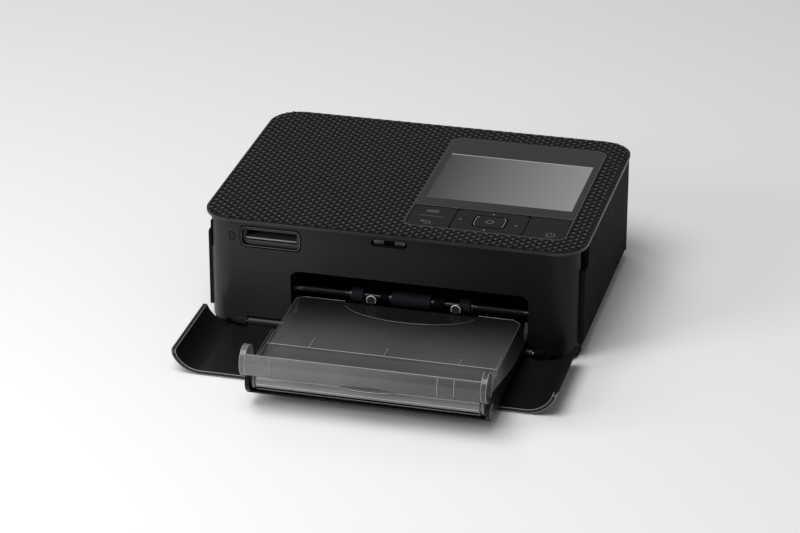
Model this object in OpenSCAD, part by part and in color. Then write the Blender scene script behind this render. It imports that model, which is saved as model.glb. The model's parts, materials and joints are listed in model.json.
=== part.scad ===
// Compact photo printer with its paper tray in place and its front door open.
// X runs along the width, -Y points out of the front, Z points up from the table.
// Every module draws in a frame that has y = 0 at the front edge of the top cover.
// place() then moves it, so that the origin lies under the middle of the whole printer.

/* [Body] */
// Width of the body
body_w = 182.2; // [180:0.1:190]
// Depth of the body, from the front edge of the top cover to the back
body_d = 133; // [132:0.1:140]
// Height of the top surface above the table
body_h = 57.6; // [57.2:0.1:62]
// Radius of the upright corners
corner_r = 15; // [13:0.5:17]
// Thickness of the top cover
cover_t = 1.7; // [1.5:0.1:2.2]
// How far the top cover stands out past the side walls
cover_lip = 0.5; // [0.2:0.1:1]
// Thickness of the housing walls
wall = 2.2; // [1.8:0.1:2.6]
// Height of the housing's lower edge above the table
skirt_z = 6.8; // [6:0.1:7.5]
// Thickness of the base pan's floor
floor_t = 2; // [1.6:0.1:2.4]
// How far the base pan is set in from the body's outline
base_inset = 3.2; // [3:0.1:5]
// Height of the base pan above the table
foot_h = 1.5; // [1.2:0.1:2]
// Radius of a rubber foot
foot_r = 5; // [4:0.5:6]
// Depth of the pocket that a foot sits in
foot_pocket = 0.8; // [0.5:0.1:1.2]
// Clearance between neighbouring case parts
case_gap = 0.3; // [0.2:0.05:0.5]

/* [Front door] */
// Thickness of the front door
door_t = 1.8; // [1.6:0.1:2.2]
// Gap between the closed door and the bezel
door_gap = 0.4; // [0.3:0.05:0.6]
// Length of the door from its hinge line to its free edge
door_len = 52; // [48:0.1:52.2]
// Distance from the hinge line to the door's outer face
door_hinge_d = 3.2; // [3:0.1:3.6]
// Height of the open door's outer face above the table
door_rest_z = 0.4; // [0.3:0.1:0.6]
// Depth of the wings that wrap round the body's corners
wing_d = 10.6; // [9:0.1:13]
// Radius of the wings' free corners
wing_tip_r = 3; // [1:0.1:4]
// Radius of the door's hinge pins
door_pin_r = 1; // [0.8:0.05:1.2]
// Width of each hinge lug
door_lug_w = 17.5; // [12:0.5:20]
// Distance of each lug's outer end from the rounded corner
door_lug_in = 7.6; // [6.5:0.1:9]

/* [Bezel] */
// Thickness of the bezel's plate
bezel_t = 2; // [1.8:0.1:2.4]
// Height of the bezel's lower edge
bezel_z = 3; // [2.8:0.1:3.4]
// Middle of the tray opening
tray_x = 9.25; // [8:0.05:10]
// Height of the top of the tray opening
opening_top = 32.8; // [32.4:0.1:34]
// Radius of the opening's upper corners
opening_r = 4; // [2:0.5:6]
// Distance of the card slot's recess from the left side of the body
card_side = 19.7; // [18:0.1:21]
// Width of the card slot's recess
card_w = 28.8; // [27:0.1:30]
// Distance of the card slot's recess below the top cover
card_drop = 2.7; // [2:0.1:2.9]
// Height of the card slot's recess
card_h = 10; // [9:0.1:10.5]
// Half the width of the latch slot
latch_half_w = 8.7; // [8:0.1:10]
// Distance of the latch slot below the top cover
latch_drop = 2.2; // [1.8:0.1:2.9]
// Height of the latch slot
latch_h = 3.8; // [3.4:0.1:4]
// Height of the finger notch at the top of each side seam
notch_h = 11.6; // [8:0.1:13]
// Length of the finger notch in each side
notch_d = 8; // [5:0.1:8]

/* [Control panel] */
// Distance of the control panel from the right side of the body
panel_side = 11; // [10.5:0.1:11.9]
// Width of the control panel
panel_w = 77.2; // [77:0.1:79]
// Front edge of the control panel
panel_y = 13.6; // [13:0.1:14.5]
// Depth of the control panel
panel_d = 105.4; // [104:0.1:107]
// Corner radius of the control panel
panel_r = 5; // [4:0.5:6]
// Thickness of the control panel
panel_t = 1.5; // [1.3:0.1:1.6]
// Width of the ledge that the panel lies on
panel_ledge = 1; // [0.9:0.1:1.1]
// Thickness of the ledge that the panel lies on
ledge_t = 1.3; // [1:0.1:1.6]
// Gap between the panel and the top cover
panel_gap = 0.15; // [0.1:0.05:0.3]
// Width of the picture on the display
screen_w = 70; // [66:0.5:71]
// Depth of the picture on the display
screen_d = 52.5; // [50:0.5:54]
// Front edge of the picture on the display
screen_y = 46; // [45:0.5:47]
// Edge of the display around its picture
screen_rim = 1.5; // [1:0.1:1.6]
// Thickness of the display
display_t = 2.7; // [2:0.1:3]

/* [Keys] */
// Depth of the key row, from the panel's front edge
key_row_d = 23.4; // [22:0.1:24]
// Rim of the panel around the key row
key_rim = 1.2; // [1.1:0.1:1.3]
// Gap around each key
key_gap = 0.35; // [0.3:0.05:0.45]
// Thickness of a key cap
key_t = 1.6; // [1.4:0.1:1.8]
// How far the keys lie below the panel's face
key_drop = 0.1; // [0:0.05:0.2]
// Width of the menu and back key
menu_w = 20.3; // [19.8:0.1:20.8]
// Width of the navigation pad
pad_w = 34.3; // [33:0.1:35]
// Width of the confirm button
ok_w = 15.2; // [14:0.1:16]
// Depth of the confirm button
ok_d = 12.6; // [11:0.1:13]
// Travel of a key that is pressed straight down
key_travel = 0.5; // [0.3:0.05:0.5]
// Thickness of the key board
board_t = 1.6; // [1.2:0.1:1.8]
// Height of a key switch
switch_h = 1.6; // [1.4:0.1:1.8]
// Radius of a key switch
switch_r = 1.7; // [1.5:0.1:2]

/* [Paper tray] */
// Width of the paper tray
tray_w = 112.5; // [111:0.1:113]
// Side clearance of the tray in its opening
tray_gap = 0.6; // [0.4:0.1:1]
// Height of the tray's underside
tray_z = 6.4; // [6.2:0.1:6.8]
// How far the tray reaches behind the front edge of the top cover
tray_in = 90; // [89:0.5:92]
// Thickness of the tray's floor
tray_floor = 1.6; // [1.4:0.1:2]
// Thickness of the tray's sides
tray_wall = 2; // [1.6:0.1:2.2]
// Height of the tray's sides inside the body, above its underside
tray_side_h = 10.4; // [9:0.1:10.6]
// Radius of the round noses that carry the lid
nose_r = 6.2; // [5.8:0.1:6.4]
// Distance of the noses' centre in front of the top cover's edge
nose_y = 68.5; // [68:0.1:70]
// Radius of the lid's hinge bar
bar_r = 4.8; // [4.5:0.1:4.9]
// Radius of the lid's hinge pins
lid_pin_r = 2; // [1.5:0.1:2.5]
// Radius of the rounded lip at the front of the lid
lip_r = 7.1; // [6.6:0.1:7.3]
// Distance of the lip's centre in front of the noses' centre
lip_dy = 6.9; // [6.5:0.1:7.5]
// Height of the lip's centre above the noses' centre
lip_dz = 12.7; // [12.5:0.1:13.4]
// Thickness of the lid
lid_t = 1.3; // [1.2:0.1:1.6]
// Height of the lid's top at its rear edge
lid_rear_z = 19.7; // [19.4:0.1:20]
// Place of the lid's rear edge behind the top cover's front edge
lid_rear_y = 3.4; // [2.8:0.1:3.6]
// Distance of the cross ridge in front of the top cover's edge
ridge_y = 46.7; // [40:0.1:50]
// Width of the plate that lifts the paper
lift_w = 100; // [98:0.5:102]
// Thickness of the plate that lifts the paper
lift_t = 0.8; // [0.6:0.1:1]
// Height of the lifting plate above the tray's floor
lift_h = 1.8; // [1.4:0.1:2]

/* [Print mechanism] */
// Thickness of the chassis plates
plate_t = 1.2; // [1:0.1:1.5]
// Gap between the tray and each chassis plate
plate_gap = 2; // [1.8:0.1:2.5]
// Gap between the chassis plates and the board above them
plate_drop = 0.1; // [0.1:0.1:0.6]
// Radius of the pick-up rollers
pickup_r = 3.6; // [3.4:0.1:3.7]
// Distance of the pick-up shaft behind the top cover's front edge
pickup_y = 8; // [7.8:0.1:9]
// Height of the pick-up shaft
pickup_z = 21.6; // [21.5:0.1:22]
// Width of the middle pick-up roller
pickup_wide = 18.5; // [16:0.5:20]
// Width of each outer pick-up roller
pickup_narrow = 5.3; // [4:0.1:6]
// Distance from the middle roller's centre to each outer roller's centre
pickup_pitch = 25.7; // [24:0.1:27]
// Radius of the platen roller
platen_r = 5; // [4.6:0.1:5.1]
// Distance of the platen behind the top cover's front edge
platen_y = 82; // [81:0.1:83]
// Height of the platen's axis
platen_z = 24.4; // [24.3:0.1:24.6]
// Radius of the paper drive roller and of its pinch roller
capstan_r = 2.8; // [2.6:0.1:2.9]
// Distance of the paper drive roller behind the top cover's front edge
capstan_y = 98; // [97.5:0.1:98.5]
// Height of the paper drive roller's axis
capstan_z = 26.6; // [26.4:0.1:26.8]
// Gap between the paper drive roller and its pinch roller
nip = 0.8; // [0.6:0.1:1]
// Radius of the steel shafts
shaft_r = 1.5; // [1.4:0.1:1.6]
// Running clearance of a shaft in its hole
run = 0.05; // [0.03:0.01:0.08]
// Outer radius of a shaft bush
bush_r = 3.2; // [3:0.1:3.4]

/* [Ink cassette] */
// Outer radius of the ribbon tubes
tube_r = 8.5; // [8.3:0.1:8.6]
// Wall of the ribbon tubes
tube_wall = 1.1; // [0.9:0.1:1.2]
// Radius of the wound ribbon
spool_r = 6.4; // [5.5:0.1:6.6]
// Distance of the supply spool behind the top cover's front edge
supply_y = 58; // [57.5:0.1:58.5]
// Distance of the take-up spool behind the top cover's front edge
take_up_y = 106; // [105.8:0.1:106.4]
// Distance of both spools below the top of the chassis plates
spool_drop = 8.5; // [8.5:0.1:8.6]
// Clearance of the tubes in the chassis plate
tube_gap = 0.5; // [0.3:0.1:0.6]

/* [Gears] */
// Size of the gear teeth, tip radius over half the tooth count plus one
gear_m = 0.6; // [0.58:0.01:0.6]
// Width of the gears
gear_w = 5; // [4:0.5:5]
// Gap between the tips of neighbouring gears
tip_gap = 0.35; // [0.3:0.05:0.5]
// Teeth of the motor's pinion
pinion_n = 10; // [9:1:10]
// Teeth of the paper drive roller's gear
capstan_n = 24; // [23:1:24]
// Teeth of the idler gear
idler_n = 18; // [17:1:18]
// Teeth of each transfer gear
transfer_n = 35; // [34:1:35]
// Teeth of the pick-up shaft's gear
pickup_n = 9; // [8:1:9]
// Teeth of the ribbon drive gear
ribbon_n = 26; // [24:1:26]

/* [Drives] */
// Radius of the motor
motor_r = 11; // [10:0.5:11]
// Length of the motor
motor_len = 17.5; // [16:0.5:22]
// Side of the square fan
fan_w = 30; // [28:0.5:30]
// Thickness of the fan
fan_t = 8; // [7:0.5:9]

/* [Ink door] */
// Rear end of the ink door, behind the top cover's front edge
ink_door_end = 117.4; // [116.8:0.1:117.8]
// Radius of the bead along the ink door's lower edge
bead_r = 1.3; // [1.2:0.1:1.4]
// Radius of the ink door's hinge pins
ink_pin_r = 0.6; // [0.5:0.05:0.65]
// Thickness of the panel on the ink door's inner side
ink_pad_t = 1.5; // [1.3:0.1:1.6]
// Width of each hinge lug on the housing
ink_lug_w = 4; // [3:0.5:6]

/* [Hidden] */
$fn = 64;
cut = 0.5;

case_black = [0.14, 0.14, 0.15];
gloss_black = [0.07, 0.07, 0.08];
smoke = [0.45, 0.46, 0.47];
steel = [0.72, 0.73, 0.75];
board_green = [0.1, 0.32, 0.2];
gear_white = [0.88, 0.87, 0.82];
rubber_blue = [0.24, 0.27, 0.33];

// Frame and case levels
half_w = body_w / 2;
cover_z = body_h - cover_t;
floor_z = foot_h + floor_t;
card_x = card_side - half_w;
card_z = cover_z - card_drop - card_h;
latch_z = cover_z - latch_drop - latch_h;
door_lug_x = half_w - corner_r - door_lug_in;
panel_x = half_w - panel_side - panel_w;
panel_z = body_h - panel_t;
ledge_z = panel_z - ledge_t;
switch_z = ledge_z - 1;
board_top = switch_z - switch_h;
nose_z = tray_z + nose_r;
lip_y = -nose_y - lip_dy;
lip_z = nose_z + lip_dz;
front_reach = lip_r - lip_y;
front_y = (front_reach - body_d) / 2;
in_wall = cover_lip + wall;
bezel_in = door_t + door_gap;
bezel_back = bezel_in + bezel_t;
seam_y = wing_d + door_gap;
hinge_y = door_hinge_d;
hinge_z = door_rest_z + door_hinge_d;
door_pin_len = 12;

// Tray opening and chassis plates
open_x0 = tray_x - tray_w / 2 - tray_gap;
open_x1 = tray_x + tray_w / 2 + tray_gap;
tray_x0 = tray_x - tray_w / 2;
tray_x1 = tray_x + tray_w / 2;
left_x1 = tray_x0 - plate_gap - tray_gap;
left_x0 = left_x1 - plate_t;
right_x0 = tray_x1 + plate_gap;
right_x1 = right_x0 + plate_t;
plate_y0 = bezel_back + 2;
plate_y1 = body_d - 9;
plate_top = board_top - board_t - plate_drop;
spool_z = plate_top - spool_drop;

// Gear train, in the slab outside the left chassis plate
gear_x1 = left_x0 - 1.4;
gear_x0 = gear_x1 - gear_w;
function tip(n) = gear_m * (n + 2) / 2;
idler_dir = -152.2;
idler_d = tip(capstan_n) + tip(idler_n) + tip_gap;
idler_y = capstan_y + idler_d * cos(idler_dir);
idler_z = capstan_z + idler_d * sin(idler_dir);
train_len = norm([pickup_y - idler_y, pickup_z - idler_z]);
train_dir = atan2(pickup_z - idler_z, pickup_y - idler_y);
train_gap = (train_len - tip(idler_n) - tip(pickup_n) - 6 * tip(transfer_n)) / 4;
function transfer_at(i) = tip(idler_n) + i * train_gap + (2 * i - 1) * tip(transfer_n);
function transfer_y(i) = idler_y + transfer_at(i) * cos(train_dir);
function transfer_z(i) = idler_z + transfer_at(i) * sin(train_dir);
pinion_dir = 15.8;
pinion_d = tip(capstan_n) + tip(pinion_n) + tip_gap;
pinion_y = capstan_y + pinion_d * cos(pinion_dir);
pinion_z = capstan_z + pinion_d * sin(pinion_dir);
pinch_z = capstan_z + 2 * capstan_r + nip;
bracket_x1 = gear_x0 - 2.8;
bracket_x0 = bracket_x1 - plate_t;
board_x1 = gear_x0 - 3.6;
board_x0 = board_x1 - board_t;
board_y0 = 14;
reader_z0 = card_z - 1;
reader_y1 = bezel_back + 30;
board_z1 = reader_z0 - 1;

// Print head between the ribbon tubes
path_z = platen_z + platen_r;
film_z = path_z + 0.2;
film_t = 0.2;
head_z = film_z + film_t + 0.3;
pivot_y = 70.5;
pivot_z = plate_top - 4.5;
arm_z = plate_top - 4;
arm_t = 1.4;
head_x0 = tray_x - 50;
head_x1 = tray_x + 50;
tube_x0 = tray_x - 54;
grip_x0 = right_x1 + 1.4;
grip_t = 2.4;

// Control panel and keys
panel_x1 = panel_x + panel_w;
panel_y1 = panel_y + panel_d;
display_x = panel_x + (panel_w - screen_w) / 2;
key_x0 = panel_x + key_rim;
key_x1 = panel_x1 - key_rim;
key_y0 = panel_y + key_rim;
key_y1 = panel_y + key_row_d;
key_top = body_h - key_drop;
key_z = key_top - key_t;
menu_x0 = key_x0 + key_gap;
pad_x0 = menu_x0 + menu_w + key_gap;
power_x0 = pad_x0 + pad_w + key_gap;
cap_y0 = key_y0 + key_gap;
cap_y1 = key_y1 - key_gap;
cap_mid_y = (cap_y0 + cap_y1) / 2;
pad_mid_x = pad_x0 + pad_w / 2;
stem_gap = key_travel + 0.15;
post_in = 0.2;

// Ink door
ink_x1 = half_w - cover_lip;
ink_x0 = ink_x1 - wall;
bead_x = ink_x1 - bead_r;
bead_z = skirt_z + 0.2 + bead_r;
frame_x1 = ink_x0 - ink_pad_t - 0.5;
frame_x0 = frame_x1 - 1.8;
ink_lug_ys = [30, 96];
ink_y0 = seam_y + 0.3;
screw_ys = [24, 74, 116];
boss_r = 3;
boss_x_left = -(half_w - in_wall - boss_r + 0.4);
boss_x_right = frame_x0 - boss_r + 0.4;

module place() translate([0, front_y, 0]) children();

// Extrudes a shape drawn in Y and Z along X
module along_x(x0, x1) translate([x0, 0, 0]) rotate([90, 0, 90]) linear_extrude(x1 - x0) children();

// Extrudes a shape drawn in X and Z along Y
module along_y(y0, y1) translate([0, y1, 0]) rotate([90, 0, 0]) linear_extrude(y1 - y0) children();

// Extrudes a shape drawn in X and Y along Z
module along_z(z0, z1) translate([0, 0, z0]) linear_extrude(z1 - z0) children();

module box(a, b) translate(a) cube(b - a);
module rod(x0, x1, y, z, r) translate([x0, y, z]) rotate([0, 90, 0]) cylinder(h = x1 - x0, r = r);

// Rectangle from corner a to corner b with true round corners
module rounded(a, b, r) {
    translate([a[0] + r, a[1]]) square([b[0] - a[0] - 2 * r, b[1] - a[1]]);
    translate([a[0], a[1] + r]) square([b[0] - a[0], b[1] - a[1] - 2 * r]);
    for (x = [a[0] + r, b[0] - r]) for (y = [a[1] + r, b[1] - r]) translate([x, y]) circle(r);
}

// The body's outline, drawn in by some distance
module outline(inset) {
    rounded([-half_w + inset, inset], [half_w - inset, body_d - inset], corner_r - inset);
}

// A wall that follows the body's outline
module shell(inset, t, z0, z1) {
    difference() {
        along_z(z0, z1) outline(inset);
        along_z(z0 - cut, z1 + cut) outline(inset + t);
    }
}

module top_cover() {
    rib_in = in_wall + case_gap;
    rib_h = 2.2;
    color(case_black) place() difference() {
        union() {
            along_z(cover_z, body_h) outline(0);
            difference() {
                shell(rib_in, 1.2, cover_z - rib_h, cover_z + cut / 2);
                box([-half_w, -cut, 0], [half_w, seam_y + notch_d + 0.5, body_h]);
                box([frame_x0 - 2, -cut, 0], [half_w, ink_door_end + 3.2, cover_z]);
            }
            along_z(ledge_z, cover_z + cut / 2)
                rounded([panel_x - 1.4, panel_y - 1.4], [panel_x1 + 1.4, panel_y1 + 1.4], panel_r + 1.4);
            for (x = [panel_x + post_in, panel_x1 - post_in]) for (y = [panel_y + 8, key_y1 - 2])
                translate([x, y, board_top]) cylinder(h = ledge_z - board_top + cut / 2, r = 1.2);
        }
        along_z(panel_z, body_h + cut)
            rounded([panel_x - panel_gap, panel_y - panel_gap],
                [panel_x1 + panel_gap, panel_y1 + panel_gap], panel_r + panel_gap);
        along_z(ledge_z - cut, panel_z + cut)
            rounded([panel_x + panel_ledge, panel_y + panel_ledge],
                [panel_x1 - panel_ledge, panel_y1 - panel_ledge], panel_r - panel_ledge);
    }
}

module control_panel() {
    color(gloss_black) place() difference() {
        along_z(panel_z, body_h) rounded([panel_x, panel_y], [panel_x1, panel_y1], panel_r);
        along_z(panel_z - cut, body_h + cut)
            rounded([key_x0, key_y0], [key_x1, key_y1], panel_r - key_rim);
    }
}

module display_module() {
    color([0.3, 0.33, 0.36]) place()
        box([display_x - screen_rim, screen_y - screen_rim * 3, panel_z - display_t],
            [display_x + screen_w + screen_rim, screen_y + screen_d + screen_rim * 2, panel_z]);
}

// Places of the key switches, under the menu, pad, confirm and power caps
switch_points = [
    [menu_x0 + menu_w / 2, cap_y1 - 4], [menu_x0 + menu_w / 2, cap_y0 + 4],
    [pad_mid_x, cap_y1 - 2.6], [pad_mid_x, cap_y0 + 2.6],
    [pad_x0 + 4, cap_mid_y], [pad_x0 + pad_w - 4, cap_mid_y],
    [pad_mid_x, cap_mid_y], [(power_x0 + key_x1) / 2, cap_mid_y]
];

module panel_board() {
    color(board_green) place() {
        box([panel_x - 1, panel_y + 0.4, board_top - board_t], [panel_x1 + 1, key_y1 + 5.4, board_top]);
        for (p = switch_points) translate([p[0], p[1], board_top - cut / 2])
            cylinder(h = switch_h + cut / 2, r = switch_r);
    }
}

module cap_shape(x0, x1) rounded([x0, cap_y0], [x1, cap_y1], 3);

// A post under a key cap, down to just above its switch
module stem(p, r) translate([p[0], p[1], switch_z + stem_gap])
    cylinder(h = key_z - switch_z - stem_gap + cut / 2, r = r);

module menu_back_key() {
    color(gloss_black) place() {
        along_z(key_z, key_top) cap_shape(menu_x0, menu_x0 + menu_w);
        for (i = [0, 1]) stem(switch_points[i], 1.2);
    }
}

module ok_shape(extra) {
    rounded([pad_mid_x - ok_w / 2 - extra, cap_mid_y - ok_d / 2 - extra],
        [pad_mid_x + ok_w / 2 + extra, cap_mid_y + ok_d / 2 + extra], 3);
}

frame_top = key_z - 0.3;
frame_t = 0.8;

module pad_rocker_frame() {
    reach = 9.5;
    color(case_black) place() difference() {
        along_z(frame_top - frame_t, frame_top)
            rounded([pad_mid_x - reach, cap_mid_y - ok_d / 2 - 2],
                [pad_mid_x + reach, cap_mid_y + ok_d / 2 + 2], 2);
        along_z(frame_top - frame_t - cut, frame_top + cut) ok_shape(key_gap);
    }
}

module navigation_pad() {
    color(gloss_black) place() {
        difference() {
            along_z(key_z, key_top) cap_shape(pad_x0, pad_x0 + pad_w);
            along_z(key_z - cut, key_top + cut) ok_shape(key_gap);
        }
        for (i = [4, 5]) stem(switch_points[i], 1.2);
    }
}

module ok_button() {
    color(gloss_black) place() {
        along_z(key_z, key_top) ok_shape(0);
        stem(switch_points[6], 1.4);
    }
}

module power_key() {
    color(gloss_black) place() {
        along_z(key_z, key_top) cap_shape(power_x0, key_x1 - key_gap);
        stem(switch_points[7], 1.2);
    }
}

// The bezel's slots for the door's hinge lugs
module lug_slots() {
    for (s = [-1, 1]) {
        x0 = s > 0 ? door_lug_x - door_lug_w : -door_lug_x;
        box([x0 - 0.6, 0, 0], [x0 + door_lug_w + 0.6, bezel_back + cut, hinge_z + door_hinge_d]);
    }
}

module front_bezel() {
    ear_w = 5;
    ear_r = 1.8;
    color(case_black) place() difference() {
        union() {
            difference() {
                shell(bezel_in, bezel_t, bezel_z, cover_z);
                box([-half_w, seam_y, 0], [half_w, body_d, body_h]);
                along_y(0, bezel_back + cut)
                    rounded([open_x0, bezel_z - 10], [open_x1, opening_top], opening_r);
                box([card_x, 0, card_z], [card_x + card_w, bezel_back + cut, card_z + card_h]);
                along_y(0, bezel_back + cut)
                    rounded([-latch_half_w, latch_z], [latch_half_w, latch_z + latch_h], latch_h / 2 - 0.01);
                lug_slots();
            }
            box([open_x0 + opening_r, bezel_back - cut, opening_top], [open_x1 - opening_r, bezel_back + 7, opening_top + 1.4]);
            for (s = [-1, 1]) {
                x0 = s > 0 ? door_lug_x + 0.6 : -door_lug_x - 0.6 - ear_w;
                along_x(x0, x0 + ear_w) union() {
                    translate([hinge_y, hinge_z]) circle(ear_r);
                    translate([bezel_in, hinge_z]) square([bezel_t + 0.8, 4]);
                    translate([hinge_y - ear_r, hinge_z]) square([2 * ear_r, 2]);
                }
                box([s * tab_x - 3, bezel_back - cut, bezel_z + 5], [s * tab_x + 3, base_front, bezel_z + 11]);
            }
        }
        for (s = [-1, 1])
            rod(s * (door_lug_x + 0.6 + ear_w / 2) - 8, s * (door_lug_x + 0.6 + ear_w / 2) + 8, hinge_y, hinge_z, door_pin_r);
    }
}

base_front = hinge_y + 3.8;
tab_x = half_w - corner_r + 1.9;

module door_pins() {
    color(steel) place() for (s = [-1, 1])
        rod(s > 0 ? door_lug_x + 4.6 - door_pin_len : -door_lug_x - 4.6,
            s > 0 ? door_lug_x + 4.6 : -door_lug_x - 4.6 + door_pin_len, hinge_y, hinge_z, door_pin_r);
}

// Turns the closed door a quarter turn about its hinge line, down in front of the printer
module opened() translate([0, hinge_y, hinge_z]) rotate([90, 0, 0]) translate([0, -hinge_y, -hinge_z]) children();

module front_door() {
    edge_z = hinge_z - 2.4;
    top_z = hinge_z + door_len;
    lug_r = 2.4;
    color(case_black) place() opened() difference() {
        union() {
            difference() {
                shell(0, door_t, edge_z, top_z);
                box([-half_w - cut, wing_d, 0], [half_w + cut, body_d + cut, body_h]);
                for (s = [-1, 1]) {
                    translate([s * (door_lug_x + 3.1), 0, 0]) box([-3, -cut, edge_z - cut], [3, door_t + cut, hinge_z + 3.2]);
                    translate([s * half_w, 0, 0])
                        box([-corner_r - 1.5, -cut, edge_z - cut], [corner_r, wing_d + cut, hinge_z + 1.8]);
                }
            }
            for (s = [-1, 1]) {
                x0 = s > 0 ? door_lug_x - door_lug_w : -door_lug_x;
                along_x(x0, x0 + door_lug_w) union() {
                    translate([hinge_y, hinge_z]) circle(lug_r);
                    translate([door_t - cut, hinge_z - lug_r]) square([hinge_y - door_t + cut, 2 * lug_r]);
                }
                box([s * 5 - 2, door_t - cut, latch_z + 1.1], [s * 5 + 2, door_t + 1.5, latch_z + 2.7]);
            }
        }
        for (s = [-1, 1]) rod(s * (door_lug_x - 4) - 12, s * (door_lug_x - 4) + 12, hinge_y, hinge_z, door_pin_r + run);
        // The lower edge is rounded, so it stays above the table while the door turns
        along_x(-half_w - cut, half_w + cut) difference() {
            translate([-cut, edge_z - cut]) square([hinge_y + cut, hinge_z - edge_z + cut]);
            translate([hinge_y, hinge_z]) circle(hinge_z - 0.2);
        }
        // The wings' free corners are rounded
        along_x(-half_w - cut, half_w + cut) translate([wing_d - wing_tip_r, top_z - wing_tip_r]) difference() {
            square(wing_tip_r + cut);
            circle(wing_tip_r);
        }
    }
}

module latch_catch() {
    back = bezel_back + 3.4;
    color([0.3, 0.3, 0.31]) place() {
        box([-latch_half_w - 1, bezel_back, latch_z - 1], [latch_half_w + 1, back, latch_z + latch_h + 1]);
        for (s = [-1, 1])
            box([s * 4.6 - 2.2, bezel_in + 0.9, latch_z + latch_h - 1.3], [s * 4.6 + 2.2, bezel_back + cut, latch_z + latch_h - 0.5]);
    }
}

module card_reader() {
    slot_z = card_z + card_h * 0.43;
    color([0.2, 0.2, 0.21]) place() difference() {
        box([card_x - 1.2, bezel_back, reader_z0], [card_x + card_w + 1.2, reader_y1, card_z + card_h + 1]);
        box([card_x + (card_w - 24.6) / 2, bezel_back - cut, slot_z], [card_x + (card_w + 24.6) / 2, reader_y1 - 2, slot_z + 3.2]);
    }
}

module rear_housing() {
    bay_y0 = supply_y - tube_r - 2;
    bay_y1 = ink_door_end - 1.4;
    color(case_black) place() difference() {
        union() {
            difference() {
                shell(cover_lip, wall, skirt_z, cover_z);
                box([-half_w, -cut, 0], [half_w, seam_y, body_h]);
                box([frame_x1, -cut, 0], [half_w, ink_door_end + case_gap, body_h]);
                for (s = [-1, 1]) translate([s * half_w, 0, 0])
                    box([-4, 0, cover_z - notch_h], [4, seam_y + notch_d, cover_z + cut]);
                for (i = [0 : 6]) box([-half_w - cut, 33 + i * 3.8, 17], [-half_w + in_wall + cut, 35.2 + i * 3.8, 41]);
                box([head_x0 - 4, body_d - in_wall - cut, path_z - 2.4], [head_x1 + 4, body_d + cut, path_z + 4.6]);
                box([dc_x - 4.6, body_d - in_wall - cut, port_z - 4.6], [dc_x + 4.6, body_d + cut, port_z + 4.6]);
                box([usb_x - 5.2, body_d - in_wall - cut, port_z - 2.6], [usb_x + 5.2, body_d + cut, port_z + 2.6]);
            }
            difference() {
                box([frame_x0, seam_y, skirt_z], [frame_x1, ink_door_end + 3, cover_z]);
                box([frame_x0 - cut, bay_y0, spool_z - tube_r - 4], [frame_x1 + cut, bay_y1, cover_z - 2.6]);
            }
            box([frame_x0, ink_door_end + case_gap, skirt_z], [ink_x1 - 0.6, ink_door_end + 2.4, cover_z]);
            for (y = ink_lug_ys) difference() {
                union() {
                    translate([bead_x, y - ink_lug_w / 2, bead_z]) rotate([-90, 0, 0]) cylinder(h = ink_lug_w, r = bead_r);
                    box([frame_x1 - cut, y - ink_lug_w / 2, bead_z - bead_r], [bead_x, y + ink_lug_w / 2, bead_z + bead_r]);
                }
                translate([bead_x, y - ink_lug_w, bead_z]) rotate([-90, 0, 0]) cylinder(h = 2 * ink_lug_w, r = ink_pin_r + run);
            }
            for (y = screw_ys) for (x = [boss_x_left, boss_x_right])
                translate([x, y, skirt_z]) cylinder(h = 8, r = boss_r);
        }
        for (y = screw_ys) for (x = [boss_x_left, boss_x_right])
            translate([x, y, skirt_z - cut]) cylinder(h = 8, r = screw_r);
    }
}

screw_r = 1.3;
screw_head_r = 2.4;
dc_x = -30;
usb_x = -10;
port_z = 14;

module ink_door() {
    top_z = cover_z - 0.4;
    color(case_black) place() difference() {
        union() {
            box([ink_x0, ink_y0, bead_z], [ink_x1, ink_door_end, top_z]);
            box([ink_x0 - ink_pad_t, ink_y0 + 8, bead_z + 6], [ink_x0 + cut / 2, ink_door_end - 8, top_z - 6]);
            translate([bead_x, ink_y0, bead_z]) rotate([-90, 0, 0]) cylinder(h = ink_door_end - ink_y0, r = bead_r);
        }
        box([ink_x0 - cut, ink_y0 - cut, cover_z - notch_h], [ink_x1 + cut, seam_y + notch_d, cover_z]);
        for (y = ink_lug_ys) {
            box([ink_x0 - 2, y - ink_lug_w / 2 - 0.3, bead_z - bead_r - cut],
                [ink_x1 + cut, y + ink_lug_w / 2 + 0.3, bead_z + bead_r + 1.2]);
            translate([bead_x, y - 6, bead_z]) rotate([-90, 0, 0]) cylinder(h = 12, r = ink_pin_r);
        }
    }
}

module ink_door_pins() {
    color(steel) place() for (y = ink_lug_ys)
        translate([bead_x, y - 6, bead_z]) rotate([-90, 0, 0]) cylinder(h = 12, r = ink_pin_r);
}

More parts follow.
